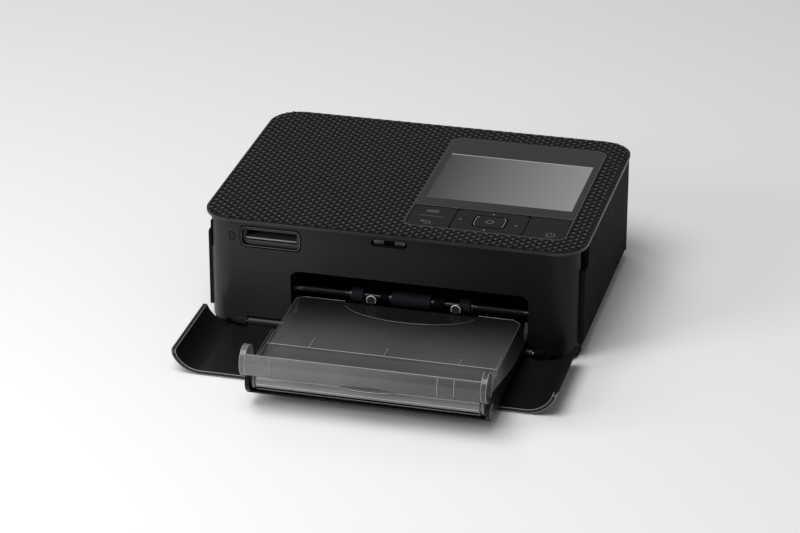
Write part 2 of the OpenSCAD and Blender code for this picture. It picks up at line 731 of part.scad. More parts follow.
module base_pan() {
    rim_z = skirt_z - 0.2;
    color(case_black) place() difference() {
        union() {
            along_z(foot_h, floor_z) outline(base_inset);
            shell(base_inset, 1.8, foot_h, rim_z);
            for (x = [tray_x - 49, tray_x + 49]) box([x - 1.5, base_front, foot_h], [x + 1.5, tray_in + 2, tray_z - case_gap]);
            for (y = screw_ys) for (x = [boss_x_left, boss_x_right])
                translate([x, y, foot_h]) cylinder(h = skirt_z - foot_h, r = boss_r);
            for (s = [-1, 1]) box([s * tab_x - 3, base_front, foot_h], [s * tab_x + 3, base_front + 1.8, bezel_z + 11]);
            box([dc_x - 7, body_d - in_wall - 11, foot_h], [usb_x + 7, body_d - in_wall - 3, port_z - 5]);
        }
        box([-half_w, -cut, 0], [half_w, base_front, body_h]);
        intersection() {
            shell(-cut, bezel_back + case_gap + cut, bezel_z - case_gap, cover_z);
            box([-half_w - cut, -cut, 0], [half_w + cut, seam_y + case_gap, body_h]);
        }
        for (p = foot_points) translate([p[0], p[1], foot_h - cut]) cylinder(h = foot_pocket + cut, r = foot_r);
        for (y = screw_ys) for (x = [boss_x_left, boss_x_right]) translate([x, y, 0]) {
            cylinder(h = body_h, r = screw_r);
            cylinder(h = floor_z - 0.6, r = screw_head_r);
        }
    }
}

foot_points = [for (s = [-1, 1]) for (y = [18, body_d - 18]) [s * (half_w - 21.1), y]];

module rubber_feet() {
    color([0.05, 0.05, 0.05]) place() for (p = foot_points) translate([p[0], p[1], 0])
        cylinder(h = foot_h + foot_pocket, r = foot_r);
}

module base_screws() {
    color(steel) place() for (y = screw_ys) for (x = [boss_x_left, boss_x_right]) translate([x, y, 0]) {
        translate([0, 0, floor_z - 2]) cylinder(h = 1.4, r = screw_head_r);
        translate([0, 0, floor_z - 1]) cylinder(h = 8, r = screw_r);
    }
}

// Holes for the shafts that cross the chassis, as [y, z, radius]
bush_points = [[pickup_y, pickup_z], [platen_y, platen_z], [capstan_y, capstan_z]];

module plate_holes(x0, x1) {
    for (p = bush_points) rod(x0 - cut, x1 + cut, p[0], p[1], bush_r);
    rod(x0 - cut, x1 + cut, capstan_y, pinch_z, shaft_r + run);
    rod(x0 - cut, x1 + cut, pivot_y, pivot_z, shaft_r);
}

module left_chassis_plate() {
    studs = [for (y = [board_y0 + 4, 88]) for (z = [floor_z + 2.6, board_z1 - 3]) [y, z]];
    color(steel) place() difference() {
        union() {
            box([left_x0, plate_y0, floor_z], [left_x1, plate_y1, plate_top]);
            for (p = studs) rod(board_x1, left_x0 + cut, p[0], p[1], 2);
            for (i = [1 : 3]) rod(gear_x0 - 0.8, left_x0 + cut, transfer_y(i), transfer_z(i), shaft_r);
            rod(gear_x0 - 0.8, left_x0 + cut, idler_y, idler_z, shaft_r);
        }
        plate_holes(left_x0, left_x1);
        box([left_x0 - cut, plate_y0 - cut, reader_z0 - 1], [left_x1 + cut, reader_y1 + 1, plate_top + cut]);
        for (y = [supply_y, take_up_y]) rod(left_x0 - cut, left_x1 + cut, y, spool_z, shaft_r + run);
    }
}

module right_chassis_plate() {
    color(steel) place() difference() {
        box([right_x0, plate_y0, floor_z], [right_x1, plate_y1, plate_top]);
        plate_holes(right_x0, right_x1);
        for (y = [supply_y, take_up_y]) rod(right_x0 - cut, right_x1 + cut, y, spool_z, tube_r + tube_gap);
    }
}

module cross_ties() {
    color(steel) place() for (y = [38, take_up_y + 13])
        box([left_x1, y - 3, plate_top - 5.2], [right_x0, y + 3, plate_top - 4]);
}

module shaft_bushes() {
    color([0.8, 0.78, 0.7]) place() for (x = [left_x0, right_x0]) for (p = bush_points) difference() {
        rod(x, x + plate_t, p[0], p[1], bush_r);
        rod(x - cut, x + plate_t + cut, p[0], p[1], shaft_r + run);
    }
}

module main_board() {
    color(board_green) place() {
        box([board_x0, board_y0, floor_z + 0.4], [board_x1, 93.5, board_z1]);
        box([board_x0 - 3, 56, 16], [board_x0 + cut / 2, 74, 34]);
        box([board_x0 - 6, 78, 12], [board_x0 + cut / 2, 90, 22]);
    }
}

module wireless_module() {
    color([0.12, 0.2, 0.35]) place() box([board_x0 - 1.8, board_y0 + 6, 22], [board_x0, board_y0 + 22, 36]);
}

module motor_bracket() {
    posts = [[121, 20], [121, 40], [96, 10]];
    color(steel) place() difference() {
        union() {
            box([bracket_x0, 94.5, 8], [bracket_x1, 123.5, 44]);
            for (p = posts) rod(bracket_x1 - cut, left_x0, p[0], p[1], 2);
        }
        rod(bracket_x0 - cut, bracket_x1 + cut, pinion_y, pinion_z, 4);
    }
}

module feed_motor() {
    color([0.6, 0.6, 0.62]) place() {
        rod(bracket_x0 - motor_len, bracket_x0, pinion_y, pinion_z, motor_r);
        rod(bracket_x0 - cut, bracket_x1, pinion_y, pinion_z, 4);
        rod(bracket_x0 - cut, gear_x1 - 0.6, pinion_y, pinion_z, 1);
    }
}

// A toothed disc in the Y and Z plane
module gear_shape(n) {
    pitch = 360 / n;
    root_r = tip(n) - 2.2 * gear_m;
    polygon([for (i = [0 : n - 1]) for (j = [0 : 3])
        let (a = pitch * (i + [-0.32, -0.14, 0.14, 0.32][j]), r = (j == 0 || j == 3) ? root_r : tip(n))
        [r * cos(a), r * sin(a)]]);
}

module gear(n, y, z, bore) {
    along_x(gear_x0, gear_x1) translate([y, z]) difference() {
        gear_shape(n);
        circle(bore);
    }
}

module motor_pinion() color([0.8, 0.66, 0.35]) place() gear(pinion_n, pinion_y, pinion_z, 1 + run);
module idler_gear() color(gear_white) place() gear(idler_n, idler_y, idler_z, shaft_r + run);
module capstan_gear() color(gear_white) place() gear(capstan_n, capstan_y, capstan_z, shaft_r);
module pickup_gear() color(gear_white) place() gear(pickup_n, pickup_y, pickup_z, shaft_r);
module ribbon_gear() color(gear_white) place() gear(ribbon_n, take_up_y, spool_z, shaft_r);
module transfer_gear(i) {
    color(gear_white) place() gear(transfer_n, transfer_y(i), transfer_z(i), shaft_r + run);
}

module platen_roller() {
    color([0.1, 0.1, 0.11]) place() {
        rod(left_x0 - 0.4, right_x1 + 0.4, platen_y, platen_z, shaft_r);
        rod(head_x0 - 2, head_x1 + 2, platen_y, platen_z, platen_r);
    }
}

module capstan_roller() {
    color(steel) place() {
        rod(gear_x0, right_x1 + 0.4, capstan_y, capstan_z, shaft_r);
        rod(head_x0 - 2, head_x1 + 2, capstan_y, capstan_z, capstan_r);
    }
}

module pinch_roller() {
    color([0.3, 0.3, 0.32]) place() {
        rod(left_x0 - 0.4, right_x1 + 0.4, capstan_y, pinch_z, shaft_r);
        rod(head_x0 - 2, head_x1 + 2, capstan_y, pinch_z, capstan_r);
    }
}

module pickup_shaft() {
    color(steel) place() rod(gear_x0, right_x1 + 0.4, pickup_y, pickup_z, shaft_r);
}

module pickup_rollers() {
    mid = tray_x + 0.4;
    color(rubber_blue) place() for (r = [[mid, pickup_wide], [mid - pickup_pitch, pickup_narrow], [mid + pickup_pitch, pickup_narrow]])
        difference() {
            rod(r[0] - r[1] / 2, r[0] + r[1] / 2, pickup_y, pickup_z, pickup_r);
            rod(r[0] - r[1], r[0] + r[1], pickup_y, pickup_z, shaft_r);
        }
}

module head_shaft() {
    color(steel) place() rod(left_x0, right_x1, pivot_y, pivot_z, shaft_r);
}

module head_arm() {
    ear_r = 3;
    color([0.55, 0.56, 0.58]) place() difference() {
        union() {
            box([head_x0, pivot_y + 2, arm_z], [head_x1, platen_y + 6.4, arm_z + arm_t]);
            for (x = [head_x0, head_x1 - 3]) {
                rod(x, x + 3, pivot_y, pivot_z, ear_r);
                box([x, pivot_y, arm_z - 2], [x + 3, pivot_y + 4, arm_z + arm_t]);
            }
        }
        rod(head_x0 - cut, head_x1 + cut, pivot_y, pivot_z, shaft_r + run);
    }
}

module thermal_head() {
    fins = 6;
    color([0.5, 0.5, 0.52]) place() difference() {
        box([head_x0 + 4, platen_y - 5.5, head_z], [head_x1 - 4, platen_y + 5.5, arm_z]);
        for (i = [0 : fins - 2]) box([head_x0, platen_y - 4.4 + i * 2, head_z + 7], [head_x1, platen_y - 3.4 + i * 2, arm_z - 1.6]);
    }
}

module paper_guide() {
    color([0.2, 0.2, 0.21]) place() box([left_x1, 18, path_z - 2.6], [right_x0, platen_y - platen_r - 3, path_z - 1.4]);
}

module rear_guide() {
    color([0.2, 0.2, 0.21]) place() box([left_x1, capstan_y + capstan_r + 2, path_z - 1.6], [right_x0, plate_y1 + 4, path_z - 0.8]);
}

module dc_inlet() {
    r = 2.75;
    color([0.08, 0.08, 0.08]) place() {
        difference() {
            union() {
                box([dc_x - 4.5, body_d - in_wall - 11, port_z - 5], [dc_x + 4.5, body_d - in_wall, port_z + 4.5]);
                box([dc_x - 4.3, body_d - in_wall - cut, port_z - 4.3], [dc_x + 4.3, body_d - cover_lip - 0.6, port_z + 4.3]);
            }
            translate([dc_x, body_d + cut, port_z]) rotate([90, 0, 0]) cylinder(h = 10, r = r);
        }
        translate([dc_x, body_d - cover_lip - 1.6, port_z]) rotate([90, 0, 0]) cylinder(h = 9, r = 0.8);
    }
}

module usb_port() {
    color(steel) place() difference() {
        union() {
            box([usb_x - 4.5, body_d - in_wall - 9, port_z - 5], [usb_x + 4.5, body_d - in_wall, port_z + 2.2]);
            box([usb_x - 4.5, body_d - in_wall - cut, port_z - 2.2], [usb_x + 4.5, body_d - cover_lip - 0.8, port_z + 2.2]);
        }
        box([usb_x - 3.8, body_d - in_wall - 4, port_z - 1.4], [usb_x + 3.8, body_d + cut, port_z + 1.4]);
    }
}

module fan_frame() {
    x1 = -half_w + in_wall;
    mid_y = 45.5;
    mid_z = 29;
    color([0.1, 0.1, 0.1]) place() {
        difference() {
            box([x1, mid_y - fan_w / 2, mid_z - fan_w / 2], [x1 + fan_t, mid_y + fan_w / 2, mid_z + fan_w / 2]);
            rod(x1 - cut, x1 + fan_t + cut, mid_y, mid_z, fan_w / 2 - 1.4);
        }
        rod(x1 + fan_t - 1.2, x1 + fan_t, mid_y, mid_z, 6);
        for (a = [45, 165, 285]) translate([x1 + fan_t - 1.2, mid_y, mid_z]) rotate([a, 0, 0])
            box([0, 4, -0.8], [1.2, fan_w / 2, 0.8]);
        rod(x1 + 2.4, x1 + fan_t - 1, mid_y, mid_z, 1);
    }
}

module fan_rotor() {
    x1 = -half_w + in_wall;
    mid_y = 45.5;
    mid_z = 29;
    color([0.16, 0.16, 0.17]) place() difference() {
        union() {
            rod(x1 + 1, x1 + fan_t - 1.6, mid_y, mid_z, 5.6);
            for (i = [0 : 6]) translate([x1 + 1.2, mid_y, mid_z]) rotate([i * 360 / 7, 0, 0])
                box([0, 5, -0.5], [fan_t - 3, fan_w / 2 - 2.2, 0.5]);
        }
        rod(x1 + 2, x1 + fan_t, mid_y, mid_z, 1 + run);
    }
}

// A ribbon tube, open along a slot that faces down towards the print head
module ribbon_tube(y, side) {
    difference() {
        rod(tube_x0, grip_x0 + cut, y, spool_z, tube_r);
        rod(tube_x0 - cut, grip_x0 + 1, y, spool_z, tube_r - tube_wall);
        translate([0, y, spool_z]) rotate([side * 50, 0, 0])
            box([tube_x0 - cut, -3, -tube_r - cut], [head_x1 + 2, 3, 0]);
    }
}

module ink_cassette_shell() {
    color([0.2, 0.21, 0.23]) place() difference() {
        union() {
            ribbon_tube(supply_y, 1);
            ribbon_tube(take_up_y, -1);
            along_x(grip_x0, grip_x0 + grip_t) union() {
                for (y = [supply_y, take_up_y]) translate([y, spool_z]) circle(tube_r);
                translate([supply_y, spool_z - 5]) square([take_up_y - supply_y, 10]);
            }
            box([grip_x0 + grip_t - cut, 78, spool_z - 1], [grip_x0 + 8, 86, spool_z + 1]);
        }
        for (y = [supply_y, take_up_y]) rod(grip_x0 - cut, grip_x0 + grip_t + cut, y, spool_z, shaft_r + run);
    }
}

module spool(y, x0) {
    rod(x0, grip_x0 + grip_t + 0.4, y, spool_z, shaft_r);
    rod(tube_x0 + 3, head_x1 + 2, y, spool_z, spool_r);
}

module supply_spool() color([0.55, 0.2, 0.25]) place() spool(supply_y, left_x0 - 0.4);
module take_up_spool() color([0.25, 0.22, 0.3]) place() spool(take_up_y, gear_x0);

module ribbon_film() {
    t = film_t;
    x0 = head_x0;
    x1 = head_x1;
    top = film_z + t;
    y0 = platen_y - 7.4;
    y1 = platen_y + 8.6;
    color([0.75, 0.6, 0.15]) place() along_x(x0, x1) polygon([
        [y0, film_z], [y1, film_z], [y1 + 0.6, film_z], [y1 + 1.2, spool_z - 4],
        [take_up_y - 7.6, spool_z - 3.4], [take_up_y - 7.6, spool_z - 3.4 + t], [y1 + 0.9, spool_z - 3.7],
        [y1 + 0.3, top], [y0 + 0.1, top], [supply_y + 6.2, spool_z - 4.6 + t], [supply_y + 6.2, spool_z - 4.6]
    ]);
}

module eject_lever() {
    x0 = right_x1 + case_gap;
    color([0.75, 0.4, 0.1]) place() {
        box([x0, 84, 12], [x0 + 1.6, 92, 30]);
        box([x0, 84, 12], [x0 + 6, 92, 14]);
    }
}

// Side view of the tray's cheek: a low side that rises to the round nose
module cheek_shape() {
    translate([-nose_y, nose_z]) circle(nose_r);
    polygon([[-nose_y, tray_z], [tray_in, tray_z], [tray_in, tray_z + tray_side_h],
        [8, tray_z + tray_side_h], [3, low_side_z], [-24, low_side_z], [-40, low_side_z + 2.7],
        [-54, low_side_z + 5.7], [-nose_y + 1.5, nose_z + nose_r - 0.2]]);
}

module cassette_base() {
    floor_top = tray_z + tray_floor;
    color([0.09, 0.09, 0.1]) place() difference() {
        union() {
            for (x = [tray_x0, tray_x1 - tray_wall]) along_x(x, x + tray_wall) cheek_shape();
            box([tray_x0, bar_back, tray_z], [tray_x1, tray_in, floor_top]);
            box([tray_x0, -nose_y - 2.5, tray_z], [tray_x1, bar_back + cut, tray_z + 0.9]);
            box([tray_x0, tray_in - tray_wall, tray_z], [tray_x1, tray_in, tray_z + tray_side_h]);
            box([tray_x0, bar_back, tray_z], [tray_x1, bar_back + 1.5, nose_z + 1.6]);
        }
        for (x = [tray_x0, tray_x1 - tray_wall]) rod(x - cut, x + tray_wall + cut, -nose_y, nose_z, lid_pin_r + run);
    }
}

bar_back = -nose_y + bar_r + 0.5;
low_side_z = tray_z + 4.2;

module lift_plate() {
    z = tray_z + tray_floor + lift_h;
    color([0.12, 0.12, 0.13]) place() {
        box([tray_x - lift_w / 2, bar_back + 2.4, z], [tray_x + lift_w / 2, tray_in - tray_wall - 1, z + lift_t]);
        for (y = [-30, 50]) box([tray_x - 6, y - 8, tray_z + tray_floor], [tray_x + 6, y + 8, z + lift_t / 2]);
    }
}

// Side view of the lid's skin: rear plate, ridge, trough and rounded lip
module lid_shape() {
    ridge_z = lid_rear_z - 0.6;
    trough_z = ridge_z - 1.6;
    lip_low = lip_z - lip_r;
    polygon([[lid_rear_y, lid_rear_z], [lid_rear_y, lid_rear_z - lid_t], [-ridge_y, ridge_z - lid_t],
        [-ridge_y - 1, trough_z - lid_t], [lip_y, lip_low], [lip_y, lip_low + lid_t],
        [-ridge_y - 2.2, trough_z], [-ridge_y - 1.6, ridge_z + 0.5], [-ridge_y, ridge_z + 0.5], [-ridge_y + 0.6, ridge_z]]);
    difference() {
        translate([lip_y, lip_z]) circle(lip_r);
        translate([lip_y, lip_z]) circle(lip_r - lid_t);
        translate([lip_y, lip_z]) polygon([[0, -2 * lip_r], [2 * lip_r, -2 * lip_r], [2 * lip_r, 2 * lip_r], [-2 * lip_r, 2 * lip_r], [0, 0]]);
    }
}

// Side view of the lid's flaps, which stand on the tray's cheeks
module flap_shape() {
    g = 0.4;
    polygon([[lid_rear_y - 1, lid_rear_z - 0.4], [lid_rear_y - 1, low_side_z + g], [-24, low_side_z + g],
        [-40, low_side_z + 2.7 + g], [-54, low_side_z + 5.7 + g], [-nose_y + 1.5, nose_z + nose_r + g],
        [-nose_y - 2, nose_z + nose_r + g], [lip_y, lip_z], [-nose_y, lip_z - lip_r + 3], [-ridge_y - 3, lid_rear_z - 0.6]]);
    translate([lip_y, lip_z]) circle(lip_r);
}

module cassette_lid() {
    flap_t = tray_wall + 1.2;
    ring_r = 2.45;
    color(smoke, 0.5) place() {
        along_x(tray_x0 + tray_wall + 0.4, tray_x1 - tray_wall - 0.4) lid_shape();
        for (x = [tray_x0, tray_x1 - flap_t]) along_x(x, x + flap_t) flap_shape();
        rod(tray_x0 + tray_wall + 0.4, tray_x1 - tray_wall - 0.4, -nose_y, nose_z, bar_r);
        rod(tray_x0 + 0.3, tray_x1 - 0.3, -nose_y, nose_z, lid_pin_r);
        along_x(tray_x0 + 4, tray_x1 - 4)
            polygon([[-nose_y - 3.4, nose_z + 3], [-nose_y + 1, nose_z + 4], [-nose_y - 1, lip_z - lip_r + 2.6], [-nose_y - 5, lip_z - lip_r + 1.2]]);
        for (x = [tray_x - 18, tray_x + 22.4]) difference() {
            along_y(lid_rear_y - 1, lid_rear_y) translate([x, lid_rear_z + 1.6]) circle(ring_r);
            along_y(lid_rear_y - 2, lid_rear_y + 1) translate([x, lid_rear_z + 1.6]) circle(ring_r - 0.75);
        }
    }
}

top_cover();
control_panel();
display_module();
panel_board();
front_bezel();
rear_housing();
base_pan();
rubber_feet();
base_screws();
card_reader();
latch_catch();
door_pins();
left_chassis_plate();
right_chassis_plate();
cross_ties();
shaft_bushes();
main_board();
wireless_module();
feed_motor();
motor_bracket();
fan_frame();
fan_rotor();
paper_guide();
rear_guide();
dc_inlet();
usb_port();
head_shaft();
head_arm();
thermal_head();
platen_roller();
capstan_roller();
pinch_roller();
pickup_shaft();
pickup_rollers();
motor_pinion();
idler_gear();
capstan_gear();
transfer_gear(1);  // transfer_gear_1
transfer_gear(2);  // transfer_gear_2
transfer_gear(3);  // transfer_gear_3
pickup_gear();
ribbon_gear();
take_up_spool();
supply_spool();
ribbon_film();
ink_cassette_shell();
eject_lever();
ink_door();
ink_door_pins();
front_door();
cassette_base();
lift_plate();
cassette_lid();
menu_back_key();
pad_rocker_frame();
navigation_pad();
ok_button();
power_key();
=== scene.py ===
import json
import math
import bmesh
import bpy
from mathutils import Matrix, Vector


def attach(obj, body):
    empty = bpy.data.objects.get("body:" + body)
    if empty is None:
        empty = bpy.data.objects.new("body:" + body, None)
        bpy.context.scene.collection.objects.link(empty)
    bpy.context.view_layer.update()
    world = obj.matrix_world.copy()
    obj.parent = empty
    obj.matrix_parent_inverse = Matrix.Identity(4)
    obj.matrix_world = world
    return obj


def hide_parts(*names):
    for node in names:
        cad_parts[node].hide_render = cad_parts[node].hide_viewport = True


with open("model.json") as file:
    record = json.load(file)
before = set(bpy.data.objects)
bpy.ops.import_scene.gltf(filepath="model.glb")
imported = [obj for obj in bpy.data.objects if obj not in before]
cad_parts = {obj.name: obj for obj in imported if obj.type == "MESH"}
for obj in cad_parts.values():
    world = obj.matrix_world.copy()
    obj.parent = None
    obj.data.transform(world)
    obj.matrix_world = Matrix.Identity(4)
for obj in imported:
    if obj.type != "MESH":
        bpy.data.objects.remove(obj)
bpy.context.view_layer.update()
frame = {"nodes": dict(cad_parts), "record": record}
nodes = frame["nodes"]
mm = 0.001
bodyOf = {n: b for b, names in frame["record"]["behaviour"]["bodies"].items() for n in names}
print("frame loaded,", len(nodes), "nodes")

# The body in mm, as the frame has it. All measures below count y from the top cover's front edge
case = {"frontY": -25.25, "half": 91.1, "depth": 133, "corner": 15, "top": 57.6, "keyTop": 57.5}


def at(x, y, z):
    return Vector((x * mm, (y + case["frontY"]) * mm, z * mm))


# Camera and studio

camera = {
    "place": (326.156, -1252.51, 660.161),
    "right": (0.9688529, 0.2476368, -0.000257),
    "up": (-0.1065485, 0.417796, 0.9022715),
    "back": (0.223543, -0.874141, 0.4311682),
    "lens": 139.833,
    "sensor": 36,
    "clipEnd": 20,
}
studio = {
    "floor": {"Base Color": (0.93, 0.93, 0.93, 1), "Roughness": 0.9, "Specular IOR Level": 0.1},
    "floorReach": 6,  # metres
    "world": {"Color": (1, 1, 1, 1), "Strength": 0.2},
}
lights = [
    # name, place, aim, width, height, power
    ("softboxTop", (-300, -500, 1500), (0, 0, 0), 1200, 900, 17),
    ("softboxLeft", (-620, -560, 400), (0, 0, 20), 380, 380, 3.4),
    ("softboxHigh", (-800, 910, 1150), (0, 60, 57), 520, 520, 1.5),
]


def newObject(name, data):
    obj = bpy.data.objects.new(name, data)
    bpy.context.scene.collection.objects.link(obj)
    return obj


def setInputs(node, values):
    for key, value in values.items():
        node.inputs[key].default_value = value


def buildStudio():
    scene = bpy.context.scene
    data = bpy.data.cameras.new("photoCamera")
    data.sensor_width = camera["sensor"]
    data.lens = camera["lens"]
    data.clip_end = camera["clipEnd"]
    obj = newObject("photoCamera", data)
    turn = Matrix((camera["right"], camera["up"], camera["back"])).transposed()
    obj.matrix_world = Matrix.Translation(at(*camera["place"])) @ turn.to_4x4()
    scene.camera = obj
    scene.view_settings.view_transform = "Standard"

    world = bpy.data.worlds.new("studioWorld")
    scene.world = world
    world.use_nodes = True
    setInputs(world.node_tree.nodes["Background"], studio["world"])

    for name, place, aim, width, height, power in lights:
        lamp = bpy.data.lights.new(name, "AREA")
        lamp.shape = "RECTANGLE"
        lamp.size = width * mm
        lamp.size_y = height * mm
        lamp.energy = power
        holder = newObject(name, lamp)
        direction = at(*aim) - at(*place)
        holder.location = at(*place)
        holder.rotation_euler = direction.to_track_quat("-Z", "Y").to_euler()

    reach = studio["floorReach"]
    mesh = bpy.data.meshes.new("floor")
    corners = [(-reach, -reach, 0), (reach, -reach, 0), (reach, reach, 0), (-reach, reach, 0)]
    mesh.from_pydata(corners, [], [(0, 1, 2, 3)])
    floor = newObject("floor", mesh)
    paper = bpy.data.materials.new("studioPaper")
    paper.use_nodes = True
    setInputs(paper.node_tree.nodes["Principled BSDF"], studio["floor"])
    mesh.materials.append(paper)
    print("studio ready")


# Materials: each look blends two colours in soft patches and has a fine bumpy grain

looks = {
    # name: two colours, roughness from and to, patch size in mm, what differs from the surface below
    "frontBlack": ((0.011, 0.011, 0.0112), (0.013, 0.013, 0.0132), (0.34, 0.44), 60,
        {"grain": 0.35, "bump": 0.04, "specular": 0.2}),
    "sideBlack": ((0.012, 0.012, 0.0122), (0.014, 0.014, 0.0142), (0.4, 0.5), 60,
        {"grain": 0.35, "bump": 0.05, "specular": 0.003}),
    "doorBlack": ((0.006, 0.006, 0.0062), (0.008, 0.008, 0.0082), (0.28, 0.38), 60,
        {"grain": 0.35, "bump": 0.03, "specular": 0.3}),
    "coverBlack": ((0.016, 0.016, 0.0163), (0.02, 0.02, 0.0203), (0.3, 0.4), 60,
        {"grain": 0.35, "bump": 0.04, "specular": 0.4}),
    # painted highlight: colour of the bright lines round the door's rim
    "rimHighlightGrey": ((0.24, 0.24, 0.24), (0.18, 0.18, 0.18), (0.24, 0.34), 20, {"specular": 0.5}),
    "recessGrey": ((0.04, 0.04, 0.04), (0.05, 0.05, 0.05), (0.4, 0.5), 15,
        {"grain": 0.4, "bump": 0.04, "specular": 0.3}),
    # painted highlight: colour of the bright lines along the lid plate's rear edge and recess
    "plateEdgeHighlight": ((0.2, 0.2, 0.196), (0.1, 0.1, 0.098), (0.15, 0.25), 9, {}),
    # painted highlight: colour of the bright arcs on the clear half rings and of bright lines along the clear
    # bar
    "clearHighlight": ((0.7, 0.7, 0.69), (0.5, 0.5, 0.49), (0.1, 0.2), 2, {}),
    # painted highlight: colour of thin bright lines along the panel's rim, the screen's edges and the card
    # recess
    "edgeHighlightGrey": ((0.12, 0.12, 0.12), (0.09, 0.09, 0.09), (0.2, 0.3), 10, {}),
    # painted highlight: colour of the bright arcs on the OK key and the line along the screen's rear edge
    "highlightLine": ((0.5, 0.5, 0.49), (0.36, 0.36, 0.35), (0.2, 0.3), 25, {"bump": 0.01}),
    "contactGrey": ((0.3, 0.3, 0.29), (0.22, 0.22, 0.21), (0.25, 0.4), 3, {"bump": 0.03, "metal": 0.6}),
    "slotBlack": ((0.001, 0.001, 0.001), (0.002, 0.002, 0.002), (0.6, 0.7), 5,
        {"bump": 0.03, "specular": 0.05}),
    "tabGrey": ((0.1, 0.1, 0.1), (0.07, 0.07, 0.07), (0.22, 0.34), 3, {"bump": 0.03, "metal": 0.8}),
    "shaftDark": ((0.07, 0.07, 0.071), (0.045, 0.045, 0.046), (0.2, 0.3), 8,
        {"grain": 0.2, "bump": 0.03, "metal": 0.9, "stretch": 18}),
    # painted highlight: colour of the bright rods along the clear lid's edges
    "clearEdgeHighlight": ((0.42, 0.42, 0.41), (0.26, 0.26, 0.255), (0.15, 0.25), 9, {}),
    "caseBlack": ((0.004, 0.004, 0.0042), (0.006, 0.006, 0.0062), (0.36, 0.46), 60,
        {"grain": 0.35, "bump": 0.05, "specular": 0.2}),
    "textureBlack": ((0.0185, 0.0185, 0.0186), (0.0215, 0.0215, 0.0216), (0.3, 0.36), 50,
        {"grain": 0.4, "bump": 0.03, "specular": 0.34}),
    "glossBlack": ((0.003, 0.003, 0.0032), (0.004, 0.004, 0.0042), (0.05, 0.1), 30,
        {"grain": 0.6, "bump": 0.01, "coat": 0.6}),
    "keyBlack": ((0.005, 0.005, 0.0052), (0.007, 0.007, 0.0072), (0.22, 0.3), 20, {"specular": 0.3}),
    "trayBlack": ((0.003, 0.003, 0.0032), (0.005, 0.005, 0.0052), (0.3, 0.42), 30,
        {"grain": 0.4, "bump": 0.04, "specular": 0.2}),
    "innerBlack": ((0.008, 0.008, 0.0085), (0.013, 0.013, 0.0135), (0.5, 0.62), 15,
        {"grain": 0.5, "bump": 0.08}),
    "rubberFoot": ((0.02, 0.02, 0.02), (0.03, 0.03, 0.03), (0.75, 0.9), 6, {"bump": 0.2}),
    "rollerRubber": ((0.006, 0.0073, 0.0105), (0.008, 0.0096, 0.0136), (0.6, 0.75), 5,
        {"grain": 0.25, "bump": 0.18, "specular": 0.1}),
    "brightSteel": ((0.6, 0.61, 0.63), (0.5, 0.51, 0.53), (0.18, 0.32), 8,
        {"grain": 0.2, "bump": 0.03, "metal": 1, "stretch": 18}),
    "platedSheet": ((0.5, 0.51, 0.52), (0.42, 0.43, 0.45), (0.3, 0.48), 12,
        {"grain": 0.5, "bump": 0.03, "metal": 1, "stretch": 6}),
    "gearWhite": ((0.68, 0.66, 0.6), (0.62, 0.6, 0.54), (0.38, 0.5), 8, {"grain": 0.4, "bump": 0.04}),
    "boardGreen": ((0.02, 0.12, 0.055), (0.03, 0.16, 0.075), (0.3, 0.4), 3, {"grain": 0.8, "bump": 0.08}),
    "headAlloy": ((0.42, 0.43, 0.45), (0.36, 0.37, 0.39), (0.35, 0.5), 6, {"bump": 0.06, "metal": 1}),
    "woundRibbon": ((0.2, 0.05, 0.08), (0.14, 0.03, 0.07), (0.2, 0.32), 4,
        {"grain": 0.15, "bump": 0.05, "stretch": 30}),
    "sheetRibbon": ((0.4, 0.3, 0.05), (0.34, 0.25, 0.04), (0.15, 0.25), 8, {"grain": 0.4, "bump": 0.03}),
    "leverOrange": ((0.5, 0.17, 0.02), (0.44, 0.14, 0.02), (0.35, 0.45), 6, {"bump": 0.04}),
    "brass": ((0.6, 0.44, 0.17), (0.52, 0.37, 0.13), (0.22, 0.36), 3,
        {"grain": 0.15, "bump": 0.03, "metal": 1}),
    "printGrey": ((0.16, 0.16, 0.16), (0.14, 0.14, 0.14), (0.4, 0.5), 3, {}),
    "displayGrey": ((0.09, 0.095, 0.1), (0.07, 0.075, 0.08), (0.2, 0.3), 30, {"grain": 0.5, "bump": 0.01}),
}
surface = {
    "metal": 0, "specular": 0.4, "coat": 0, "coatRough": 0.04, "ior": 1.5, "grain": 0.3, "bump": 0.02,
    "stretch": 1, "patchDetail": 3, "grainDetail": 2, "noiseLow": 0.3, "noiseHigh": 0.7,
}
smoke = {
    "colour": (0.24, 0.24, 0.235), "second": (0.13, 0.13, 0.127), "rough": (0.12, 0.24), "patch": 25,
    "extras": {"grain": 0.5, "bump": 0.03, "specular": 0.7},
}
smokes = {
    # name: alpha, brightness
    "smokeLid": (0.26, 1), "smokeLip": (0.62, 1), "smokeBar": (0.6, 1.9), "smokeShade": (0.45, 0.08),
}
blends = {
    # name: axis, from and to in mm, tint at both. Each one paints light or shade into the colour along its
    # axis
    # painted shade: the valleys of the embossed top are darker than the bumps' tops
    "textureBlack": ("Z", 57.22, 57.5, 0.4, 1),
    # painted light: the lid's smoke is brighter toward its front and darker toward the rear
    "smokeLid": ("Y", -46, 3, 1.2, 0.12),
    # painted light: the lip is lighter at its left end and darker toward the right
    "smokeLip": ("X", -45, 63, 1.1, 0.45),
    # painted light and shade: the front is lighter at the left and shaded toward the right
    "frontBlack": ("X", -20, 75, 1.7, 0.35),
}
# The screen's colour runs from dim at its left to lit at its right: a painted reflection of light on the
# window
screen = {
    "left": 6.8, "right": 76.8, "front": 46.2, "back": 98.6,
    "dim": (0.042, 0.042, 0.041, 1), "lit": (0.31, 0.31, 0.303, 1), "mask": (0.012, 0.012, 0.013, 1),
}
materials = {}


def addNode(tree, kind, values=None, **settings):
    node = tree.nodes.new(kind)
    for key, value in settings.items():
        setattr(node, key, value)
    setInputs(node, values or {})
    return node


def connect(tree, links):
    for source, output, target, entry in links:
        tree.links.new(source.outputs[output], target.inputs[entry])


